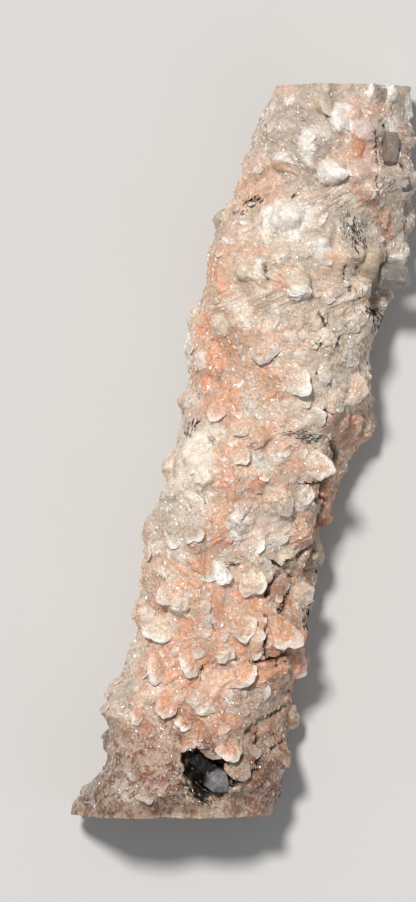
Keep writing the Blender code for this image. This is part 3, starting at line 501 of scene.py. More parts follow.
# Broken cracks: points along each as (along, across).
CRACKS = (
    ((1.8, -17.6), (-0.9, -18.7), (-3.4, -18.3), (-6.6, -16.2), (-9.2, -15.4), (-10.3, -16.7),
     (-12.9, -15.4), (-17.3, -15.1), (-18.9, -14.6), (-20.9, -11.2), (-22.3, -9.3), (-25.3, -6.7),
     (-28.8, -4.4)), ((-9.2, -15.4), (-11.6, -14.2)), ((-13.6, -15.4), (-14.8, -17.4)),
    ((-38.9, -14.1), (-39.3, -11.3), (-40.7, -8.3), (-41.9, -5.3), (-42.3, -2.0)),
    ((-56.6, -2.6), (-60.2, -3.0), (-63.2, -3.0), (-65.2, -0.6), (-66.2, 1.2)),
    ((20.5, -18.6), (22.6, -19.4)), ((-22.0, -5.6), (-25.5, -9.8)), ((63.2, -26.4), (57.0, -27.0)),
    ((-26.9, -9.6), (-32.2, -7.9)), ((-15.9, -16.3), (-18.9, -14.3)),
    ((60.0, -31.2), (56.2, -31.8)), ((54.6, -26.7), (51.8, -26.9)), ((37.2, -4.0), (33.8, -4.6)),
    ((36.4, -20.3), (31.6, -19.9)), ((-37.6, -13.6), (-34.0, -12.2)), ((-6.3, -11.3), (-6.9, -13.3)),
    ((-6.9, -13.3), (-5.9, -17.3)), ((8.1, -16.3), (6.1, -16.3), (4.7, -15.7)),
    ((-32.7, -4.5), (-34.9, -4.8), (-38.3, -4.3), (-41.3, -4.4)), ((-40.9, -7.3), (-43.3, -6.8)),
    ((-27.3, -9.3), (-29.3, -8.3), (-31.9, -7.3)), ((-43.3, 8.3), (-45.4, 8.0)),
    ((-51.3, -8.7), (-53.3, -5.3), (-54.9, -2.3), (-56.3, -0.7)), ((-57.9, 0.7), (-61.3, 0.3)),
    ((-57.9, -8.3), (-59.9, -5.3)), ((-48.3, -9.4), (-51.6, -10.6)), ((-36.4, -9.0), (-37.6, -11.6)),
    ((27.3, -15.1), (24.0, -16.6)), ((15.8, -14.4), (12.6, -15.6)), ((9.7, -25.5), (8.1, -25.5)),
)
CRACK_HALF = 0.48
CRACK_DROP = 1.7
CRACK_TEAR = 0.22                  # how uneven its sides are
TEAR_GRAIN = 1.3
TEAR_REACH = 2.0                   # its sides are uneven this close to it
FAR_OFF = 99.0                     # stands for no crack near
FULL_CRACK = 8.0                   # shorter ones are narrower, down to this share of breadth
HAIRLINE = 0.5


def waves(points, layers):
    """Soft noise in several layers, each with its depth, size and seed."""
    return sum(depth * rough(points, size * MM, seed) for depth, size, seed in layers)


def lump_reach(where, lump, ragged):
    """Height of a soft lump over each place, as a share of its full height."""
    along, across, half_along, half_across = lump[1:5]
    far = np.hypot((where[..., 0] - along) / half_along, (where[..., 1] - across) / half_across)
    return np.clip(1.15 - (far + 0.35 * ragged) ** 2, 0, 1)


def crust_colour(points):
    """Colour of the calcite at each point: the ground, the stains with ragged borders, then darker and
    redder towards the foot, partly painted shade.
    """
    where = to_layout(points)
    ragged = waves(points, STAIN_WAVES)
    drift = np.clip(0.5 + 0.9 * rough(points, 5.0 * MM, 30), 0, 1)
    fleck = np.clip(0.4 + 1.2 * rough(points, 1.2 * MM, 31), 0, 1)
    colour = blend(all_over(CREAM, points), TAN, drift * 0.8)
    colour = blend(colour, PINK, fleck * 0.55)
    for cloud, size, share in CLOUDS:
        patch = np.clip(2.6 * rough(points, size * MM, 34 + size) - 0.25, 0, 1)
        colour = blend(colour, cloud, patch * share)
    for stain, along, across, half_along, half_across, strength in STAINS:
        far = np.hypot((where[:, 0] - along) / half_along, (where[:, 1] - across) / half_across)
        colour = blend(colour, stain, np.clip((1.2 - far + ragged) / 0.6, 0, 1) * strength)
    specks = np.clip(2.4 * rough(points, 0.7 * MM, 28) - 1.1, 0, 1)
    colour = blend(colour, SLATE, specks * 0.4)
    for lump in SOFT_LUMPS:
        colour = blend(colour, lump[0], np.clip(2.5 * lump_reach(where, lump, ragged), 0, 1) * 0.94)
    spots = np.clip(0.1 + 1.3 * rough(points, 0.8 * MM, 26), 0, 1)
    colour = blend(colour, DEEP_SALMON, spots * 0.12)
    # Towards the foot: a redder tone of its own, and painted shade where the light falls off.
    foot = short_of(where[:, 0], FOOT_START, FOOT_RAMP)
    return colour ** DEPTH_OF_COLOUR * (1 - foot[:, None] * FOOT_TONE_AND_SHADE)


def speckle(tints, points, seed):
    """Makes colours a little lighter and darker, grain by grain."""
    return tints * (1 + 0.07 * rough(points, 0.5 * MM, seed))[:, None]


def shade_calcite(name, amounts, relief, translucency):
    return mineral(name, DEEP_SALMON * 0.9, amounts, relief,
                   {"Subsurface Weight": translucency, "Subsurface Radius": (1.0, 0.6, 0.4),
                    "Subsurface Scale": 0.0006, "IOR": 1.6})


def mesh_piece(name, points, faces, tints, material, crease=None):
    """A piece from its points in the frame, its faces, a colour a point and its material."""
    mesh = bpy.data.meshes.new(name)
    mesh.from_pydata(keep_in_box(points).tolist(), [], faces)
    piece = bpy.data.objects.new(name, mesh)
    bpy.context.scene.collection.objects.link(piece)
    dress(piece, tints, material, crease)
    return piece


def tree_of(piece):
    shape = bmesh.new()
    shape.from_mesh(piece.data)
    tree = BVHTree.FromBMesh(shape)
    shape.free()
    return tree


def four_around(field):
    """Sum of the four cells round each cell of a grid, its borders repeated outwards."""
    padded = np.pad(field, 1, mode="edge")
    return padded[:-2, 1:-1] + padded[2:, 1:-1] + padded[1:-1, :-2] + padded[1:-1, 2:]


def blur(field, passes):
    """Smooths a grid of values."""
    for _ in range(passes):
        field = (four_around(field) + 2 * field) / 6
    return field


def mean_of_known(field, known, passes):
    """Mean of the known values of a grid near each of its cells."""
    return blur(np.where(known, field, 0.0), passes) / np.maximum(blur(known * 1.0, passes), 0.01)


def spine_across(along):
    """Middle of the bar across its width, for a place along it (frame, millimetres)."""
    return SPINE_AT + SPINE_SLANT * along


def over_small_nodes(place):
    """Where the seats of the quartz crystals and the specularite lie, seen from above."""
    inside = np.zeros(place.shape[:2], bool)
    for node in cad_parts:
        if "specularite" in node or "crystal" in node:
            low, high = (np.array(corner[:2]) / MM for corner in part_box(node))
            inside |= ((place > low - SEAT_MARGIN) & (place < high + SEAT_MARGIN)).all(axis=-1)
    return inside


def radial_skin(rows):
    """Where rays from outside meet the crust, in rows along the bar: reach for each turn."""
    tree = tree_of(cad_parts["calcite_crust"])
    turns = np.radians(np.arange(-RAY_FAN, RAY_FAN + 0.01, RAY_TURN))
    alongs = np.linspace(-SHEET_END, SHEET_END, rows) + OFF_STATION
    reach = np.zeros((rows, len(turns)))
    for row, along in enumerate(alongs):
        middle = Vector((along, spine_across(along), SPINE_HEIGHT)) * MM
        for column, turn in enumerate(turns):
            out = Vector((0, math.sin(turn), math.cos(turn)))
            where, _, _, far = tree.ray_cast(middle + out * (RAY_START * MM), -out, RAY_LENGTH * MM)
            if where is not None:
                reach[row, column] = RAY_START - far / MM
    return alongs, turns, reach


def fill_gaps(reach, known):
    """Carries the surface over the places where the rays found none."""
    field = np.where(known, reach, mean_of_known(reach, known, GAP_PASSES))
    for _ in range(SPREAD_PASSES):
        field = np.where(known, field, four_around(field) / 4)
    return field


def sheet_base(rows, columns):
    """Grid of points on the crust, from its right foot over the top to its left foot."""
    alongs, turns, reach = radial_skin(rows)
    known = reach > 0
    ends = np.array([[turns[row].min(), turns[row].max()] for row in known])
    ends = np.stack([blur(ends[:, :1], GAP_PASSES), blur(ends[:, 1:], GAP_PASSES)], axis=1)[..., 0]
    across = spine_across(alongs)[:, None] + reach * np.sin(turns)[None]
    place = np.stack([np.repeat(alongs[:, None], len(turns), 1), across], axis=-1)
    lifted = np.concatenate([place, np.zeros((*place.shape[:2], 1))], axis=-1)
    shallow = reach > mean_of_known(reach, known, DIP_PASSES) - DEEPEST_DIP
    known &= (pocket_reach(lifted * MM) > POCKET_SKIRT) & ~over_small_nodes(place) & shallow
    reach = blur(fill_gaps(reach, known), BASE_PASSES)
    grid = np.zeros((rows, columns, 3))
    for row, along in enumerate(alongs):
        fan = np.linspace(*ends[row], 3 * columns)
        far = np.interp(fan, turns, reach[row])
        y = spine_across(along) + far * np.sin(fan)
        z = SPINE_HEIGHT + far * np.cos(fan)
        arc = np.concatenate([[0], np.cumsum(np.hypot(np.diff(y), np.diff(z)))])
        even = np.linspace(0, arc[-1], columns)
        grid[row] = np.stack([np.full(columns, along), np.interp(even, arc, y),
                              np.interp(even, arc, z)], axis=1)
    return grid


def grid_normals(grid):
    """Outward direction at every point of the grid, smoothed over the small crystals."""
    normals = np.cross(np.gradient(grid, axis=0), np.gradient(grid, axis=1))
    normals /= np.linalg.norm(normals, axis=-1, keepdims=True)
    normals = normals if normals[..., 2].mean() > 0 else -normals
    normals = np.stack([blur(normals[..., axis], NORMAL_PASSES) for axis in range(3)], axis=-1)
    return normals / np.linalg.norm(normals, axis=-1, keepdims=True)


# Waves of a small crystal's outline: how many round it, and how deep.
SMALL_OUTLINE = ((2, 0.08), (3, 0.12), (5, 0.07))
OUTLINE_REACH = 1.35               # no outline reaches further than this many half lengths
STANDS_ON = 0.45                   # share of the height under its root that a crystal stands on
HINGE = 0.25                       # share of its half length at which its lift begins


class CrystalField:
    """Small crystals grown as heights over the unrolled sheet: the highest one shows."""

    def __init__(self, grid, rng):
        self.rng = rng
        self.shape = grid.shape[:2]
        steps = np.linalg.norm(np.diff(grid, axis=1), axis=-1)
        self.across = np.concatenate([np.zeros((self.shape[0], 1)), np.cumsum(steps, axis=1)], axis=1)
        self.across -= self.across[:, -1:] / 2
        self.along = grid[..., 0]
        self.height = np.zeros(self.shape)
        self.rim = np.zeros(self.shape)
        self.owner = np.full(self.shape, -1)
        self.hearts = []

    def grow(self, cell, half, heading, lift, thick, flat):
        """One crystal at that cell: half length to its lip, half breadth, in millimetres."""
        row, column = cell
        long_half, short_half = half
        reach = max(half) * OUTLINE_REACH
        step = self.across[row, 1] - self.across[row, 0]
        rows = slice(max(row - int(reach / SHEET_STEP) - 1, 0), row + int(reach / SHEET_STEP) + 2)
        columns = slice(max(column - int(reach / step) - 1, 0), column + int(reach / step) + 2)
        du = self.along[rows, columns] - self.along[row, column]
        dv = self.across[rows, columns] - self.across[row, column]
        to_lip = du * math.cos(heading) + dv * math.sin(heading)
        aside = dv * math.cos(heading) - du * math.sin(heading)
        turn = np.arctan2(aside / short_half, to_lip / long_half)
        edge = 1.0
        for order, depth in SMALL_OUTLINE:
            edge = edge + depth * np.cos(order * turn + self.rng.uniform(0, 6.3))
        far = np.hypot(to_lip / long_half, aside / short_half) / edge
        dome = (1 - flat) * (1 - far ** 2) + flat * short_of(far, 1, 0.3)
        slope = math.tan(lift)
        ground = STANDS_ON * self.height[row, column]
        top = ground + thick * dome + slope * (to_lip - HINGE * long_half)
        wins = (far < 1) & (top > self.height[rows, columns])
        self.height[rows, columns] = np.where(wins, top, self.height[rows, columns])
        rim = past(far, 0.5, 0.45) * (0.25 + 0.75 * (0.5 + 0.5 * np.cos(turn)))
        self.rim[rows, columns] = np.where(wins, rim, self.rim[rows, columns])
        self.owner[rows, columns] = np.where(wins, len(self.hearts), self.owner[rows, columns])


# Small crystals of the sheet: count, half length from and to, share of breadth to length
# from and to, lift in degrees from and to, spread in degrees of their lips' headings.
SMALL_CRYSTALS = (
    (520, (1.2, 2.6), (0.6, 0.95), (4, 16), 45),
    (2300, (0.7, 1.3), (0.5, 0.9), (6, 22), 60),
    (7500, (0.35, 0.72), (0.4, 0.8), (6, 28), 75),
)
LIP_HEADING = 204.0
LIP_FAN = 3.4                      # degrees that a lip turns for each millimetre off the crest
FAN_REACH = 16                     # millimetres off the crest where it turns no further


def lip_heading(along, across):
    """Way that the lips face at a place: towards the foot, and outwards down each side."""
    off_crest = np.clip(across - spine_across(along), -FAN_REACH, FAN_REACH)
    return LIP_HEADING - LIP_FAN * off_crest


def grow_small_crystals(grid, rng):
    """The small crystals, larger ones first, each with the colour of the stain it lies in."""
    field = CrystalField(grid, rng)
    for count, halves, shares, lifts, spread in SMALL_CRYSTALS:
        rows = rng.integers(0, field.shape[0], count)
        columns = rng.integers(0, field.shape[1], count)
        tints = crust_colour(grid[rows, columns] * MM)
        for row, column, tint in zip(rows, columns, tints):
            half = rng.uniform(*halves)
            field.grow((row, column), (half, half * rng.uniform(*shares)),
                       math.radians(rng.normal(lip_heading(*grid[row, column, :2]), spread)),
                       math.radians(rng.uniform(*lifts)), half * rng.uniform(0.12, 0.3),
                       rng.uniform(0.1, 0.7))
            white = np.clip(rng.normal(0.3, 0.25), 0, 1)
            tint = tint * rng.uniform(0.86, 1.1)
            field.hearts.append((tint, tint * (1 - white) + WHITE * white))
    return field


def off_cracks(points):
    """Distance in millimetres from each point to the nearest crack, seen from above."""
    where = to_layout(points)[..., :2]
    nearest = np.full(where.shape[:-1], FAR_OFF)
    for crack in CRACKS:
        length = sum(math.dist(start, end) for start, end in zip(crack, crack[1:]))
        breadth = min(max(length / FULL_CRACK, HAIRLINE), 1.0)
        for start, end in zip(crack, crack[1:]):
            start, run = np.array(start), np.array(end) - np.array(start)
            share = np.clip(((where - start) * run).sum(axis=-1) / (run @ run), 0, 1)
            off = np.linalg.norm(where - start - share[..., None] * run, axis=-1) / breadth
            nearest = np.minimum(nearest, off)
    torn = rough(np.asarray(points).reshape(-1, 3), TEAR_GRAIN * MM, 83).reshape(nearest.shape)
    return nearest + np.where(nearest < TEAR_REACH, CRACK_TEAR * torn, 0.0)


def stitch(fine, coarse):
    """Triangles between a fine closed loop and a coarse one that runs inside it."""
    faces = []
    for step, start in enumerate(fine):
        after = fine[(step + 1) % len(fine)]
        near = coarse[step // STITCH]
        faces.append((start, near, after))
        if (step + 1) % STITCH == 0:
            faces.append((after, near, coarse[(step // STITCH + 1) % len(coarse)]))
    return faces


def around_grid(numbers):
    """Vertex numbers round the border of a grid, as one loop."""
    return [*numbers[0, :-1], *numbers[:-1, -1], *numbers[-1, :0:-1], *numbers[:0:-1, 0]]


def grid_faces(numbers):
    return np.stack([numbers[:-1, :-1], numbers[1:, :-1], numbers[1:, 1:], numbers[:-1, 1:]],
                    axis=-1).reshape(-1, 4)


def pad_border(values):
    """Repeats the outermost rows and columns, for the broken ends and the side borders."""
    return np.pad(values, ((STITCH, STITCH), (STITCH, STITCH), (0, 0)), mode="edge")


def turn_border_in(points, normals):
    """Breaks the sheet off square at both ends and turns its side borders inwards."""
    points, normals = pad_border(points), pad_border(normals)
    for step in range(1, STITCH + 1):
        inward = END_DEPTH * max(step - 2, 0) / (STITCH - 2)
        for row, way in ((STITCH - step, -1), (points.shape[0] - STITCH - 1 + step, 1)):
            torn = rough(points[row] * MM + np.array([0, 0, 0.002 * step]), BREAK_GRAIN * MM, 31)
            points[row] -= normals[row] * inward
            points[row, :, 0] = way * (SHEET_END + (END_PLANE - SHEET_END) * min(step / 2, 1)
                                       - BREAK_DEPTH * np.abs(torn) * min(step - 1, 2))
        for column, way in ((STITCH - step, 1), (points.shape[1] - STITCH - 1 + step, -1)):
            points[:, column, 1] += way * SHEET_DEPTH * step / STITCH
            points[:, column, 2] += BREAK_DEPTH * rough(points[:, column] * MM, BORDER_GRAIN * MM, 33)
    return points, normals


def soft_swell(grid):
    """How far the soft lumps raise the sheet, and how far they lack the small crystals."""
    where = to_layout(grid * MM)
    ragged = waves((grid * MM).reshape(-1, 3), LUMP_WAVES).reshape(grid.shape[:2])
    swell, calm = np.zeros(grid.shape[:2]), np.zeros(grid.shape[:2])
    for lump in SOFT_LUMPS:
        reach = lump_reach(where, lump, ragged) * (grid[..., 2] > LUMP_FLOOR)
        height, bareness = lump[5:]
        swell = np.maximum(swell, 0.62 * height * reach ** 0.8)
        calm = np.maximum(calm, bareness * np.clip(2 * reach, 0, 1))
    return swell, calm


def sheet_colours(points, field, calm, crack, bowl):
    """Colours of the sheet: each small crystal's own in the stains, painted shade in every hollow, crack
    and the pocket, and a painted highlight on the highest edges.
    """
    hearts, rims = (np.array([*colours, TAN]) for colours in zip(*field.hearts))
    share = field.rim[..., None]
    own = (hearts[field.owner] * (1 - share) + rims[field.owner] * share).reshape(-1, 3)
    flat_points = (points * MM).reshape(-1, 3)
    share = OWN_COLOUR * (1 - calm.reshape(-1, 1))
    tint = own * share + crust_colour(flat_points) * (1 - share)
    hollow = np.clip((blur(field.height, 10) - field.height) / 0.4, -0.4, 1).ravel()[:, None]
    # Painted shade down between the crystals, and a painted highlight on their highest edges.
    tint = tint * (1 - HOLLOW_SHADE * np.clip(hollow, 0, 1))
    tint = speckle(tint + RIDGE_LIGHT * WHITE * np.clip(-hollow, 0, 1), flat_points, 15)
    # Painted shade down in the cracks, and deeper painted shade over the pocket's bowl.
    tint = blend(tint, CRACK_AND_POCKET_SHADE, np.clip(crack.ravel() * 1.4, 0, 1) * 0.95)
    return blend(tint, CRACK_AND_POCKET_SHADE * 0.3, np.clip(bowl.ravel() / 0.5, 0, 1)).reshape(points.shape)


def close_sheet(points, grid, normals):
    """Closes the sheet with its borders and a coarser inner face. Gives points and faces."""
    outer, outer_normals = turn_border_in(points, normals)
    inner = (pad_border(grid) - outer_normals * SHEET_DEPTH)[::STITCH, ::STITCH]
    inner[:, 0] = outer[::STITCH, 0]
    inner[:, -1] = outer[::STITCH, -1]
    numbers = np.arange(outer[..., 0].size).reshape(outer.shape[:2])
    inner_numbers = np.arange(inner[..., 0].size).reshape(inner.shape[:2]) + numbers.size
    faces = [tuple(face) for face in grid_faces(numbers)]
    faces += [tuple(face[::-1]) for face in grid_faces(inner_numbers)]
    faces += stitch(around_grid(numbers), around_grid(inner_numbers))
    return np.concatenate([outer.reshape(-1, 3), inner.reshape(-1, 3)]) * MM, faces


def build_calcite_sheet():
    rng = np.random.default_rng(7)
    rows = STITCH * round(2 * SHEET_END / SHEET_STEP / STITCH) + 1
    columns = STITCH * round(SHEET_GIRTH / SHEET_STEP / STITCH) + 1
    grid = sheet_base(rows, columns)
    normals = grid_normals(grid)
    swell, calm = soft_swell(grid)
    grid = grid + normals * swell[..., None]
    field = grow_small_crystals(grid, rng)
    reach = pocket_reach(grid * MM)
    bowl = POCKET["depth"] * short_of(reach, 1.06, 0.25) ** 0.8
    crack = np.clip(1 - off_cracks(grid * MM) / CRACK_HALF, 0, 1) ** 0.7
    bare = short_of(rib_reach(grid * MM), 1.05, 0.12) * (grid[..., 1] < RIB_SIDE)
    height = (field.height - ROOTED) * past(reach, 0.9, 0.3) * (1 - 0.8 * calm)
    height -= CRACK_DROP * crack
    grid = grid - normals * (RIB_CUT * bare)[..., None]
    grid[..., 2] -= bowl
    points = grid + normals * height[..., None]
    tint = sheet_colours(points, field, calm, crack, bowl)
    every, faces = close_sheet(points, grid, normals)
    outer_tint = pad_border(tint)
    tints = np.concatenate([outer_tint.reshape(-1, 3), outer_tint[::STITCH, ::STITCH].reshape(-1, 3)])
    crust = shade_calcite("calcite_sheet", (0.12, 2100.0, 0.45, 0.14), (0.45, 0.0002), 0.12)
    piece = mesh_piece("calcite_sheet", every, faces, tints, crust, SHEET_CREASE)
    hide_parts("calcite_crust")
    return points, normals, tint, calm


sheet_points, sheet_normals, sheet_tint, sheet_calm = build_calcite_sheet()


def cell_at(along, across):
    """Cell of the sheet that lies under that place of the layout, seen from above."""
    row = int(np.abs(to_layout(sheet_points[:, 0] * MM)[:, 0] - along).argmin())
    band = to_layout(sheet_points[row] * MM)
    far = np.abs(band[:, 1] - across) + 10.0 * (sheet_normals[row][:, 2] < 0.05)
    return row, int(far.argmin())


def lay_on(normals, heading):
    """Directions on a slope: towards the heading, and to its left."""
    level = np.stack([np.cos(heading), np.sin(heading), 0 * heading], axis=-1)
    run = level - normals * (level * normals).sum(axis=-1, keepdims=True)
    run /= np.linalg.norm(run, axis=-1, keepdims=True)
    return run, np.cross(normals, run)


def turned(vector, axis, angle):
    """A vector turned about an axis that it stands square to."""
    return vector * math.cos(angle) + np.cross(axis, vector) * math.sin(angle)


# ---- lens crystals ----
# Lens-shaped calcite crystals, 2 to 9 mm across, that lie on the sheet like scales with
# one lip free. Their hearts keep the stain of the place and their thin lips are white.

# Placed ones: along, across, half length, half breadth, lip heading, lift, thickness, heart
# colour and how white the lip is.
PLACED_CRYSTALS = {
    "bright_lump_foot": (31.3, -11.0, 1.7, 2.2, 190, 6, 1.9, WHITE, 0.6),
    "blue_facet": (32.1, -26.9, 1.1, 1.2, 250, 8, 1.0, srgb(196, 202, 206), 0.2),
    "right_tan_lens": (29.6, -27.7, 1.0, 2.1, 190, 10, 1.1, TAN, 0.5),
    "pale_thin_plate": (33.4, -19.0, 2.2, 1.0, 260, 10, 1.0, CREAM, 0.5),
    "cream_nodule": (19.6, -4.1, 2.3, 2.7, 225, 14, 1.9, PEACH, 0.9),
    "cream_arc": (24.6, -4.8, 1.4, 2.3, 215, 14, 1.1, CREAM, 0.7),
    "cream_smooth": (27.8, -0.7, 1.3, 2.1, 210, 8, 1.0, CREAM, 0.5),
    "right_cream_lens": (23.0, -15.0, 1.5, 2.3, 215, 10, 1.1, CREAM, 0.6),
    "curved_blade": (13.6, -10.4, 3.2, 2.9, 235, 16, 1.3, CREAM, 1.0),
    "small_boss_upper": (4.6, 0.8, 1.9, 1.9, 190, 8, 1.3, PEACH, 0.8),
    "small_boss_lower": (-0.9, 0.4, 2.2, 1.9, 200, 10, 1.4, PEACH, 0.8),
    "grey_boss": (-1.6, -3.3, 1.5, 1.4, 205, 10, 1.1, GREY, 0.8),
    "plate_over_ledge": (-2.9, -14.9, 3.2, 3.0, 235, 12, 1.5, PEACH, 0.8),
    "lip_plate_upper": (-8.9, -12.0, 2.4, 2.2, 240, 10, 1.0, CREAM, 0.8),
    "lip_plate_middle": (-16.6, -10.9, 3.3, 2.4, 250, 8, 1.1, SALMON, 0.6),
    "lip_plate_lower": (-22.1, -8.4, 2.9, 2.8, 225, 18, 1.3, PEACH, 0.9),
    "white_finger": (-15.2, 0.9, 2.4, 1.6, 205, 12, 1.1, WHITE, 0.9),
    "white_finger_lower": (-24.7, 4.3, 2.3, 1.6, 215, 12, 1.1, WHITE, 0.9),
    "ledge_lens": (-26.4, -1.6, 2.6, 3.0, 225, 12, 1.3, PEACH, 0.7),
    "pale_blade": (-8.2, -14.6, 1.0, 2.0, 275, 10, 0.8, GREY, 0.6),
    "right_rim_plate": (12.2, -22.9, 2.4, 3.0, 255, 10, 1.4, PEACH, 0.7),
    "right_salmon_plate": (5.0, -21.4, 2.9, 3.6, 240, 8, 1.4, SALMON, 0.4),
    "right_pale_lump": (9.3, -18.7, 1.6, 2.2, 215, 12, 1.3, GREY, 0.6),
    # A white crystal whose colour is a painted glint.
    "head_left_glint": (69.9, -9.2, 0.9, 1.3, 230, 6, 0.9, WHITE, 0.6),
    "left_knob": (10.0, 12.1, 1.5, 1.5, 100, 10, 1.4, PINK, 0.6),
    "left_nodule": (-35.9, 17.1, 2.6, 3.2, 150, 14, 1.8, CREAM, 0.9),
    "crescent_plate": (-42.5, 10.5, 2.9, 2.4, 145, 20, 1.4, PEACH, 0.9),
    "salmon_blade": (-35.9, -7.9, 4.4, 3.2, 215, 14, 1.5, SALMON, 0.7),
    "salmon_plate": (-35.1, 0.5, 3.1, 3.0, 205, 14, 1.5, PEACH, 0.8),
    "round_lens": (-40.3, 3.6, 2.1, 2.0, 205, 14, 1.3, CREAM, 0.7),
    "tongue_plate": (-45.1, 0.1, 2.0, 3.0, 215, 16, 1.3, SALMON, 0.9),
    "corner_block": (-42.6, -10.6, 3.4, 3.2, 250, 10, 2.0, SALMON, 0.5),
    "cream_button": (-30.8, 12.7, 1.6, 1.8, 160, 14, 1.3, CREAM, 0.8),
    "grey_blue_lens": (-33.9, 6.7, 1.6, 1.3, 200, 10, 1.0, GREY, 0.6),
    "pocket_brow": (-59.3, 2.7, 2.9, 2.8, 190, 10, 1.5, SALMON, 0.8),
    "orange_lens": (-57.7, 11.3, 1.7, 2.4, 200, 12, 1.2, DEEP_SALMON, 0.5),
    "thin_crescent": (-53.7, 11.3, 2.7, 1.8, 140, 20, 1.2, SALMON, 0.9),
    "foot_nodule": (-52.3, 20.9, 2.2, 1.9, 145, 16, 1.5, SALMON, 0.7),
    "foot_plate": (-50.5, 15.5, 2.8, 2.3, 165, 14, 1.4, SALMON, 0.7),
    "pale_foot_plate": (-50.1, 7.6, 2.7, 3.2, 190, 8, 1.3, CREAM, 0.5),
    "drusy_corner_lump": (-68.0, 30.0, 3.0, 3.0, 110, 6, 1.6, GREY * 0.7, 0.2),
    "tan_nodule": (-28.7, -11.7, 2.5, 2.6, 250, 8, 2.2, TAN, 0.4),
}
# Where crystals fill in between the placed ones: along, across, half along, half across,
# count, smallest and largest half length.
LOOSE_CRYSTALS = (
    (-42.0, 4.0, 26.0, 20.0, 270, 1.4, 3.1), (-10.0, -14.0, 26.0, 7.0, 60, 1.3, 2.6),
    (-8.0, -1.0, 16.0, 16.0, 40, 1.1, 2.1), (30.0, -8.0, 26.0, 24.0, 50, 1.1, 2.3),
    (62.0, -20.0, 11.0, 18.0, 16, 1.3, 2.6), (-42.0, 4.0, 24.0, 20.0, 110, 0.9, 1.6),
    (-2.0, 0.0, 62.0, 36.0, 150, 0.8, 1.5),
)
OUTERMOST = 69.5                   # no loose crystal lies further along the sheet than this
CLOSEST = 0.6                      # gap between two, as a share of their half lengths together
TRIES = 12                         # places tried for each of them
# The two kinds: rings of the crown, fewest sides, more of them a millimetre, depth of chips.
LENS_KINDS = {
    "placed": (np.linspace(0, 1, 13), 28, 4, 1.0),
    "loose": (np.array([0, 0.3, 0.56, 0.78, 0.92, 1.0]), 8, 4.4, 0.5),
}
UNDER_RINGS = (0.84, 0.45)         # rings below the rim, down to the root
# Waves of a lens's outline: how many round it, and how deep.
LENS_OUTLINE = ((2, 0.12), (3, 0.11), (4, 0.08), (5, 0.06), (7, 0.05), (11, 0.04))
LENS_CREASE = 40                   # degrees
CROWN_POWER = 2.2                  # above 2, a crown is flatter than a ball's
ROOT_DEPTH = 1.6                   # how deep the root goes, as a share of the thickness
LOOSE_BREADTH = (0.62, 0.95)       # half breadth and thickness as shares of the half length
LOOSE_THICK = (0.16, 0.3)
LOOSE_LIFT = (8, 20)               # degrees
LOOSE_SPREAD = 32
LOOSE_SUNK = {True: 0.27, False: 0.36}    # share of the half length, on the top and at the sides
CRACK_GAP = 0.5                    # room kept from a crack, and the share of the half length
CRACK_GAP_SHARE = 0.6              # that is added to it
SIDE_PICK = 4                      # at the sides, one in this many places is taken
UPWARD = 0.4                       # where the sheet faces up more than this, it counts as its top
IRON_START = -46.0                 # from here to the foot the lips are less white
IRON_RAMP = 10.0


def lens_points(half, thick, crown, sides, rng):
    """Rings of one crystal from its crown over the rim to its root, in its own axes."""
    turns = 2 * math.pi * np.arange(sides) / sides
    edge = np.ones(sides)
    for order, depth in LENS_OUTLINE:
        edge += depth * rng.uniform(0.3, 1) * np.cos(order * turns + rng.uniform(0, 6.3))
    rings = []
    for share in crown:
        step = 1 + 0.04 * rng.uniform(-1, 1)
        wave = 0.12 * thick * np.cos(5 * turns + 9 * share) * (0.2 < share < 0.95)
        rings.append((edge * share * step, thick * (1 - share ** CROWN_POWER) + wave))
    rings += [(edge * share, -thick * ROOT_DEPTH * (1 - share) + 0 * edge) for share in UNDER_RINGS]
    return np.stack([np.stack([np.cos(turns) * half[0] * reach, np.sin(turns) * half[1] * reach, rise],
                              axis=-1) for reach, rise in rings])


def lens_tints(heart, here, whiteness, crown, sides):
    """Heart colour in the middle, white along the lip, the sheet's own colour behind."""
    turns = 2 * math.pi * np.arange(sides) / sides
    lip = (0.5 + 0.5 * np.cos(turns)) ** 1.4
    rows = []
    for share in (*crown, *UNDER_RINGS):
        pale = whiteness * (0.12 + 0.88 * lip) * past(share, 0.42, 0.36)
        back = (1 - lip) * past(share, 0.2, 0.7) * 0.8
        rows.append(blend(blend(all_over(heart, turns), here, back), WHITE, pale))
    return np.stack(rows)


def lens_faces(rings, sides, start):
    """Faces between a crystal's rings and over its root."""
    faces = []
    for ring in range(rings - 1):
        for side in range(sides):
            after = (side + 1) % sides
            low, high = start + ring * sides, start + (ring + 1) * sides
            faces.append((low + side, high + side, high + after, low + after))
    root = start + (rings - 1) * sides
    faces.append(tuple(root + side for side in range(sides)))
    return faces


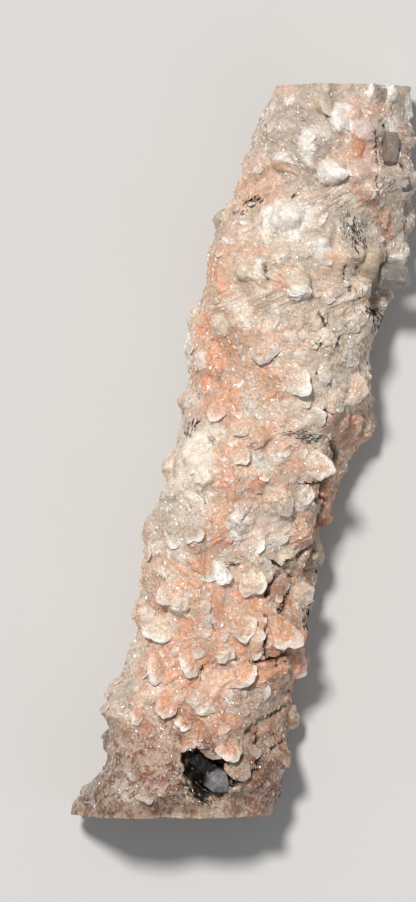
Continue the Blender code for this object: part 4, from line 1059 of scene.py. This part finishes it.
def loose_crystals(rng):
    """Places of the crystals between the placed ones, zone by zone, larger ones first."""
    taken = [(row[0], row[1], max(row[2:4])) for row in PLACED_CRYSTALS.values()]
    layout = to_layout(sheet_points * MM)
    facing_up = sheet_normals[..., 2] > UPWARD
    free = (np.abs(sheet_points[..., 0]) < OUTERMOST) & (pocket_reach(sheet_points * MM) > 1.35)
    free &= rib_reach(sheet_points * MM) > 1.2
    off = off_cracks(sheet_points * MM)
    free[:, :5] = free[:, -5:] = False
    made = []
    for along, across, half_along, half_across, count, small, large in LOOSE_CRYSTALS:
        inside = (np.abs(layout[..., 0] - along) < half_along) & free
        inside &= np.abs(layout[..., 1] - across) < half_across
        rows, columns = np.nonzero(inside)
        for half in np.sort(rng.uniform(small, large, count))[::-1]:
            for pick in rng.integers(0, len(rows), TRIES):
                row, column = rows[pick], columns[pick]
                here = layout[row, column]
                gaps = [(here[0] - other[0]) ** 2 + (here[1] - other[1]) ** 2
                        - (CLOSEST * (half + other[2])) ** 2 for other in taken]
                if off[row, column] < CRACK_GAP + CRACK_GAP_SHARE * half:
                    continue
                fits = min(gaps) > 0 if facing_up[row, column] else pick % SIDE_PICK == 0
                if fits:
                    taken.append((here[0], here[1], half))
                    made.append((row, column, half))
                    break
    return made


def lens_plans(rng):
    """Every lens crystal: its kind, cell, sizes, lip heading, lift, colours and how deep it is."""
    plans = []
    for along, across, long_half, short_half, lip, lift, thick, heart, white in PLACED_CRYSTALS.values():
        row, column = cell_at(along, across)
        plans.append(("placed", row, column, (long_half, short_half), lip, 2 + lift,
                      thick * 0.6, heart * 0.8 + sheet_tint[row, column] * 0.2, white,
                      thick * 0.42 + long_half * 0.09))
    for row, column, half in loose_crystals(rng):
        heart = sheet_tint[row - 3:row + 4, column - 3:column + 4].mean(axis=(0, 1))
        pale = rng.uniform(0.0, 0.3) ** 1.5
        iron = short_of(sheet_points[row, column, 0], IRON_START, IRON_RAMP)
        sunk = half * LOOSE_SUNK[bool(sheet_normals[row, column, 2] > UPWARD)]
        plans.append(("loose", row, column, (half, half * rng.uniform(*LOOSE_BREADTH)),
                      rng.normal(lip_heading(*sheet_points[row, column, :2]), LOOSE_SPREAD),
                      rng.uniform(*LOOSE_LIFT), half * rng.uniform(*LOOSE_THICK),
                      blend(heart[None], CREAM[None], np.array([pale]))[0] * rng.uniform(0.96, 1.1),
                      rng.uniform(0.2, 1.0) * (1 - 0.65 * iron), sunk))
    return plans


def build_lens_crystals():
    rng = np.random.default_rng(12)
    points, tints, faces, start = [], [], [], 0
    for kind, row, column, half, lip, lift, thick, heart, white, sunk in lens_plans(rng):
        crown, fewest, more, chipped = LENS_KINDS[kind]
        sides = int(fewest + more * max(half))
        normal = sheet_normals[row, column]
        run, aside = lay_on(normal, np.array(math.radians(lip)))
        run, up = (turned(way, aside, -math.radians(lift)) for way in (run, normal))
        form = lens_points(half, thick, crown, sides, rng)
        place = (sheet_points[row, column] - normal * sunk + form[..., :1] * run
                 + form[..., 1:2] * aside + form[..., 2:] * up).reshape(-1, 3)
        chips = 0.16 * rough(place * MM, 1.2 * MM, 61) + 0.09 * cells(place * MM, 0.6 * MM, 62)
        points.append(place + np.outer(chipped * chips, up))
        tints.append(lens_tints(heart, sheet_tint[row, column], white, crown, sides).reshape(-1, 3))
        faces += lens_faces(len(form), sides, start)
        start += len(points[-1])
    points = np.concatenate(points) * MM
    tints = speckle(np.concatenate(tints), points, 16)
    tints = blend(tints, GREY * 0.8, np.clip(0.3 * rough(points, 0.9 * MM, 17), 0, 1))
    lens = shade_calcite("calcite_lenses", (0.08, 2600.0, 0.4, 0.1), (0.45, 0.00022), 0.2)
    piece = mesh_piece("calcite_lenses", points, faces, tints, lens, LENS_CREASE)


build_lens_crystals()


# ---- calcite flakes ----
# Thin plates of calcite, 0.4 to 1.2 mm long, that stand on edge between the lenses. Most run
# the same slanting way, and their rims catch the light as fine streaks. In millimetres.
FLAKES = 16000
FLAKE_HALF = (0.22, 0.6)
FLAKE_SHARE = (0.35, 0.6)          # half height as a share of half length
FLAKE_THICK = (0.05, 0.12)
FLAKE_STEEP = (20, 75)             # degrees
FLAKE_HEADING = 34.0               # the way that most flakes run, from the head to the left
FLAKE_SPREAD = 30
FLAKE_BLUNT = 0.85                 # how far four of its six corners are drawn in
FLAKE_CORNERS = 8                  # six round its rim and one in the middle of each side


def build_flakes():
    rng = np.random.default_rng(9)
    rows, columns = sheet_points.shape[:2]
    picked = rng.integers(4, rows - 4, FLAKES), rng.integers(4, columns - 4, FLAKES)
    keep = pocket_reach(sheet_points[picked] * MM) > 1.08
    keep &= (off_cracks(sheet_points[picked] * MM) > 0.5) & (sheet_calm[picked] < 0.35)
    picked = picked[0][keep], picked[1][keep]
    foot, normal, tint = sheet_points[picked] * MM, sheet_normals[picked], sheet_tint[picked]
    count = len(foot)
    run, side = lay_on(normal, np.radians(rng.normal(FLAKE_HEADING, FLAKE_SPREAD, count)))
    steep = np.radians(rng.uniform(*FLAKE_STEEP, count))[:, None]
    rise = normal * np.sin(steep) + side * np.cos(steep) * rng.choice((-1, 1), (count, 1))
    flat = np.cross(run, rise)
    long_half = rng.uniform(*FLAKE_HALF, (count, 1)) * MM
    high_half = long_half * rng.uniform(*FLAKE_SHARE, (count, 1))
    thick = rng.uniform(*FLAKE_THICK, (count, 1)) * MM
    middle = foot + normal * high_half * rng.uniform(-0.2, 0.25, (count, 1))
    turns = np.radians((0, 60, 120, 180, 240, 300))
    ring = [middle + run * long_half * math.cos(a) * (FLAKE_BLUNT if k % 3 else 1.0)
            + rise * high_half * math.sin(a) for k, a in enumerate(turns)]
    points = np.stack([*ring, middle + flat * thick, middle - flat * thick], axis=1).reshape(-1, 3)
    form = [(k, (k + 1) % 6, 6) for k in range(6)] + [((k + 1) % 6, k, 7) for k in range(6)]
    faces = [tuple(start + corner for corner in face)
             for start in range(0, len(points), FLAKE_CORNERS) for face in form]
    at_foot = short_of(foot[:, :1] / MM, FOOT_START, FOOT_RAMP)
    pale = np.clip(rng.normal(0.24, 0.3, (count, 1)), 0, 1) * (1 - 0.5 * at_foot)
    colour = (tint * (1 - pale) + WHITE * pale) * rng.uniform(0.76, 1.12, (count, 1))
    flake = shade_calcite("calcite_flakes", (0.1, 2600.0, 0.25, 0.3), (0.1, 0.00005), 0.15)
    piece = mesh_piece("calcite_flakes", points, faces, np.repeat(colour, FLAKE_CORNERS, axis=0), flake)


build_flakes()


# ---- pocket quartz ----
# The smoky quartz crystal that lies in the small open pocket near the foot: six prism faces
# with fine cross lines, near-black and glassy at its root, grey and cloudy at its point.
SMOKE = srgb(16, 8, 8)
TIP_GREY = srgb(176, 174, 175)
POCKET_CRYSTAL = {"root": (-61.6, 10.2), "heading": 233.0, "pitch": 8.0, "length": 7.4,
                  "radius": 2.7, "tip": 1.9, "height": 19.6}
PRISM_STEPS = 14
ROUNDED = (0.04, 0.5, 0.96)        # points along each face, so that its corners are rounded
TIP_STEPS = (0.06, 0.3, 0.6, 0.85, 1.0)
TIP_TAPER = 0.7
TIP_LEAN = (0.25, 0.1)             # how far the point leans aside and up
QUARTZ_CREASE = 24                 # degrees


def quartz_rings(root, heading, pitch, length, radius, tip, rng):
    """Rings of a six-sided crystal from its root to its six-faced point."""
    head, slope = math.radians(heading), math.radians(pitch)
    axis = np.array([math.cos(head) * math.cos(slope), math.sin(head) * math.cos(slope),
                     math.sin(slope)])
    aside = np.cross(axis, (0, 0, 1.0))
    aside /= np.linalg.norm(aside)
    up = np.cross(aside, axis)
    corners = np.radians(60 * np.arange(6) + 14)
    faces = rng.uniform(0.86, 1.1, 6)
    outline = []
    for side in range(6):
        for share in ROUNDED:
            a, b = corners[side], corners[(side + 1) % 6]
            start = np.array([math.cos(a), math.sin(a)]) * faces[side]
            end = np.array([math.cos(b), math.sin(b)]) * faces[(side + 1) % 6]
            outline.append(start * (1 - share) + end * share)
    outline = np.array(outline) * radius
    travels = [(step / PRISM_STEPS * length, 1 + 0.012 * rng.uniform(-1, 1))
               for step in range(PRISM_STEPS + 1)]
    travels += [(length + tip * share, 1 - share * TIP_TAPER) for share in TIP_STEPS]
    lean = aside * TIP_LEAN[0] + up * TIP_LEAN[1]
    rings = []
    for travel, scale in travels:
        over = max(travel - length, 0)
        middle = root + axis * travel + lean * over
        rings.append(middle + scale * (outline[:, :1] * aside + outline[:, 1:] * up))
    return np.array(rings)


def ring_faces(count, sides):
    """Faces of a crystal's sides between its rings, and of its two ends."""
    faces = [(ring * sides + side, ring * sides + (side + 1) % sides,
              (ring + 1) * sides + (side + 1) % sides, (ring + 1) * sides + side)
             for ring in range(count - 1) for side in range(sides)]
    faces.append(tuple(range(sides))[::-1])
    faces.append(tuple((count - 1) * sides + side for side in range(sides)))
    return faces


def shade_quartz(name, stain, transmission, roughness):
    """Glassy quartz, more or less clear."""
    return mineral(name, stain, (0.25, 2600.0, roughness, 0.04), (0.15, 0.0001),
                   {"Transmission Weight": transmission, "IOR": 1.544})


def build_pocket_quartz():
    rng = np.random.default_rng(21)
    spec = POCKET_CRYSTAL
    root = np.array(from_layout(*spec["root"])) / MM + np.array([0, 0, spec["height"]])
    rings = quartz_rings(root, spec["heading"], spec["pitch"], spec["length"], spec["radius"],
                         spec["tip"], rng)
    points = rings.reshape(-1, 3) * MM
    travel = np.repeat(np.linspace(0, 1, len(rings)), rings.shape[1])
    streak = rough(points * np.array([1, 1, 0.3]), 0.7 * MM, 42)
    cloud = np.clip((travel - 0.5 + 0.1 * rough(points, 1.6 * MM, 41) + 0.07 * streak) / 0.16, 0, 1)
    tints = blend(all_over(SMOKE, points), TIP_GREY, cloud) * (1 + 0.3 * streak)[:, None]
    piece = mesh_piece("smoky_quartz", points, ring_faces(len(rings), rings.shape[1]), tints,
                       shade_quartz("smoky_quartz", SMOKE, 0.3, 0.12), QUARTZ_CREASE)
    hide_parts("pocket_quartz_crystal")


build_pocket_quartz()


# ---- grey quartz crystals ----
# Three crystals of cloudy grey quartz that the calcite left bare along the right side: six
# prism faces and a blunt point each, edges worn a little round.
CLOUDY = {"edge_quartz_crystal": srgb(154, 147, 138), "upper_quartz_crystal": srgb(160, 142, 128),
          "lower_quartz_crystal": srgb(112, 106, 102)}
WORN_EDGE = 0.6 * MM
WORN_DEPTH = 0.06 * MM
WORN_GRAIN = 0.9 * MM
MIST = 1.3 * MM                    # size of the paler places inside
WORN_CREASE = 30                   # degrees


def build_grey_quartz(node, colour, material):
    piece = copy_of(node, node.replace("_crystal", ""))
    shape = bmesh.new()
    shape.from_mesh(piece.data)
    bmesh.ops.dissolve_limit(shape, angle_limit=math.radians(2), verts=shape.verts, edges=shape.edges)
    bmesh.ops.bevel(shape, geom=shape.edges[:], offset=WORN_EDGE, segments=4, profile=0.5,
                    affect="EDGES", clamp_overlap=True)
    bmesh.ops.triangulate(shape, faces=shape.faces)
    bmesh.ops.subdivide_edges(shape, edges=shape.edges, cuts=3, use_grid_fill=True)
    shape.to_mesh(piece.data)
    shape.free()
    points = points_of(piece)
    points = points + normals_of(piece) * (WORN_DEPTH * rough(points, WORN_GRAIN, 52))[:, None]
    set_points(piece, keep_in_box(points))
    mist = np.clip(0.5 + rough(points, MIST, 51), 0, 1)
    tints = blend(all_over(colour * 0.85, points), colour * 1.15, mist)
    dress(piece, tints, material, WORN_CREASE)
    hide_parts(node)


cloudy_quartz = shade_quartz("cloudy_quartz", TIP_GREY * 0.5, 0.25, 0.2)
for node_name, node_colour in CLOUDY.items():
    build_grey_quartz(node_name, node_colour, cloudy_quartz)


# ---- specularite ----
# Thin black blades of bladed hematite, 0.5 to 1.5 mm long, that stand on edge in streaks
# between the calcite. They share an iron-black colour and catch the light on their faces.

# Each field: along, across, half length, half width, heading of the blades, count.
BLADE_FIELDS = {
    "specularite_head": ((49.9, -1.9, 1.6, 0.8, 121, 40), (48.4, -0.4, 2.6, 1.6, 128, 26)),
    "specularite_streaks": ((44.4, -21.5, 3.0, 1.6, 16, 90), (42.0, -22.4, 2.6, 1.8, 24, 40)),
    "specularite_right_edge": ((26.9, -26.3, 2.2, 1.8, 70, 110),),
    "specularite_band": ((2.9, -12.3, 4.2, 1.0, 84, 110),),
    "specularite_left_edge": ((4.5, 10.5, 2.2, 1.0, 152, 60),),
    "specularite_rib": ((-32.6, -13.6, 3.4, 1.8, 20, 110),),
    "pocket_specularite": ((-60.6, 9.0, 2.7, 0.9, 92, 200), (-68.4, 8.8, 3.0, 1.1, 52, 220)),
}
# Small sprays that are too small to be solids of their own.
SPRAYS = (
    (-21.1, 1.4, 2.4, 0.9, 95, 26), (-10.9, -7.7, 1.0, 0.4, 20, 12), (-14.1, -10.5, 0.9, 0.3, 30, 7),
    (50.7, -9.8, 0.7, 0.3, 110, 5), (60.4, -14.6, 0.9, 0.6, 60, 9), (2.6, 6.5, 0.8, 0.4, 40, 8),
    (-10.4, 7.7, 0.4, 0.3, 10, 4), (7.3, -17.3, 0.8, 0.4, 75, 7), (21.4, -14.7, 1.6, 0.4, 60, 9),
    (64.7, -27.8, 0.4, 0.3, 40, 5), (-29.4, -12.9, 0.4, 0.3, 60, 4), (24.0, -20.6, 1.4, 0.5, 40, 8),
    (36.0, -22.8, 1.2, 0.4, 30, 6), (-23.6, -17.6, 2.2, 0.8, 25, 16), (-42.0, -1.2, 0.4, 0.3, 30, 3),
    (13.0, -17.4, 1.2, 0.4, 50, 6), (-35.0, 6.0, 0.7, 0.3, 30, 4), (31.5, -21.5, 3.6, 1.6, 12, 18),
)
IRON_BLACK = srgb(62, 60, 62)
RUST = srgb(74, 52, 44)
BLADE_HALF = (0.25, 0.75)          # half length from and to, in millimetres
BLADE_SHARE = 0.36                 # half height as a share of it
BLADE_THICK = (0.015, 0.04)
BLADE_LEAN = 18                    # degrees to either side
BLADE_STANDS = (-0.16, 0.06)       # how far its middle is above the crust
BLADE_CREASE = 24                  # degrees


def grow_blades(fields, rng):
    """Thin six-sided plates on edge in each field, their roots in the crust."""
    points, faces, tints = [], [], []
    turns = np.radians(60 * np.arange(6))
    for along, across, half_long, half_wide, heading, count in fields:
        way = math.radians(heading)
        for _ in range(count):
            travel, aside = rng.normal(0, 0.5, 2) * (half_long, half_wide)
            row, column = cell_at(along + travel * math.cos(way) - aside * math.sin(way),
                                  across + travel * math.sin(way) + aside * math.cos(way))
            normal = sheet_normals[row, column]
            run, side = lay_on(normal, np.array(way + rng.normal(0, 0.26)))
            lean = math.radians(rng.uniform(-BLADE_LEAN, BLADE_LEAN))
            rise = normal * math.cos(lean) + side * math.sin(lean)
            flat = np.cross(run, rise)
            half, thick = rng.uniform(*BLADE_HALF), rng.uniform(*BLADE_THICK)
            middle = sheet_points[row, column] + normal * rng.uniform(*BLADE_STANDS)
            plate = [middle + run * half * math.cos(turn) + rise * half * BLADE_SHARE * math.sin(turn)
                     + flat * face for face in (-thick, thick) for turn in turns]
            faces += [tuple(len(points) + corner for corner in face) for face in ring_faces(2, 6)]
            points += plate
            tints += [IRON_BLACK * rng.uniform(0.6, 1.6) + RUST * rng.uniform(0, 0.3)] * len(plate)
    return np.array(points) * MM, faces, np.array(tints)


def shade_specularite():
    return mineral("specularite", RUST, (0.25, 2600.0, 0.25, 0.05), (0.2, 0.00008),
                   {"Metallic": 0.85})


specularite = shade_specularite()
blade_rng = np.random.default_rng(31)
for node_name, blade_fields in BLADE_FIELDS.items():
    blades = mesh_piece(node_name + "_blades", *grow_blades(blade_fields, blade_rng), specularite,
                        BLADE_CREASE)
    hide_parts(node_name)
sprays = mesh_piece("specularite_sprays", *grow_blades(SPRAYS, blade_rng), specularite,
                    BLADE_CREASE)


# ---- floor, lights and camera ----
# A matt, pale floor far wider than the specimen, one key light from its head and left, a
# weak fill from the other side and a soft even sky. The camera looks straight down through
# a long lens.
FLOOR_HALF = 15.0                  # metres
FLOOR_TONE = (0.64, 0.635, 0.62, 1)


def build_floor():
    shape = bmesh.new()
    bmesh.ops.create_grid(shape, x_segments=2, y_segments=2, size=FLOOR_HALF)
    mesh = bpy.data.meshes.new("floor")
    shape.to_mesh(mesh)
    shape.free()
    floor = bpy.data.objects.new("floor", mesh)
    bpy.context.scene.collection.objects.link(floor)
    material = bpy.data.materials.new("floor")
    material.use_nodes = True
    shader = material.node_tree.nodes["Principled BSDF"]
    shader.inputs["Base Color"].default_value = FLOOR_TONE
    shader.inputs["Roughness"].default_value = 0.9
    mesh.materials.append(material)


def add_sun(name, towards, power, softness, colour):
    """Broad far light that falls from that direction, its edges softened by the angle."""
    lamp = bpy.data.lights.new(name, "SUN")
    lamp.energy = power
    lamp.angle = math.radians(softness)
    lamp.color = colour
    item = bpy.data.objects.new(name, lamp)
    item.rotation_euler = (-Vector(towards)).to_track_quat("-Z", "Y").to_euler()
    bpy.context.scene.collection.objects.link(item)


def build_stage():
    build_floor()
    add_sun("key", (0.46, 0.25, 1.0), 2.95, 9, (1.0, 0.97, 0.94))
    add_sun("fill", (-0.5, -0.7, 0.9), 0.2, 40, (0.95, 0.97, 1.0))
    world = bpy.data.worlds.new("studio")
    world.use_nodes = True
    sky = world.node_tree.nodes["Background"].inputs
    sky["Color"].default_value = (0.93, 0.95, 1.0, 1)
    sky["Strength"].default_value = 0.27
    bpy.context.scene.world = world
    bpy.context.scene.view_settings.view_transform = "Standard"


LENS_LENGTH = 250.0
SENSOR = 36.0
VIEW_LENGTH = 180.4 * MM           # the length that the frame's long side takes in
VIEW_MIDDLE = (-0.1, 7.1)          # where the camera looks, in the layout
VIEW_HEIGHT = 16.0 * MM            # and the height at which it does


def build_camera():
    lens = bpy.data.cameras.new("camera")
    lens.lens = LENS_LENGTH
    lens.sensor_fit = "VERTICAL"
    lens.sensor_height = SENSOR
    lens.clip_start = 0.05
    camera = bpy.data.objects.new("camera", lens)
    distance = VIEW_LENGTH * LENS_LENGTH / SENSOR
    camera.location = from_layout(*VIEW_MIDDLE) + Vector((0, 0, VIEW_HEIGHT + distance))
    camera.rotation_euler = (0, 0, -math.pi / 2)
    bpy.context.scene.collection.objects.link(camera)
    bpy.context.scene.camera = camera


build_stage()
build_camera()
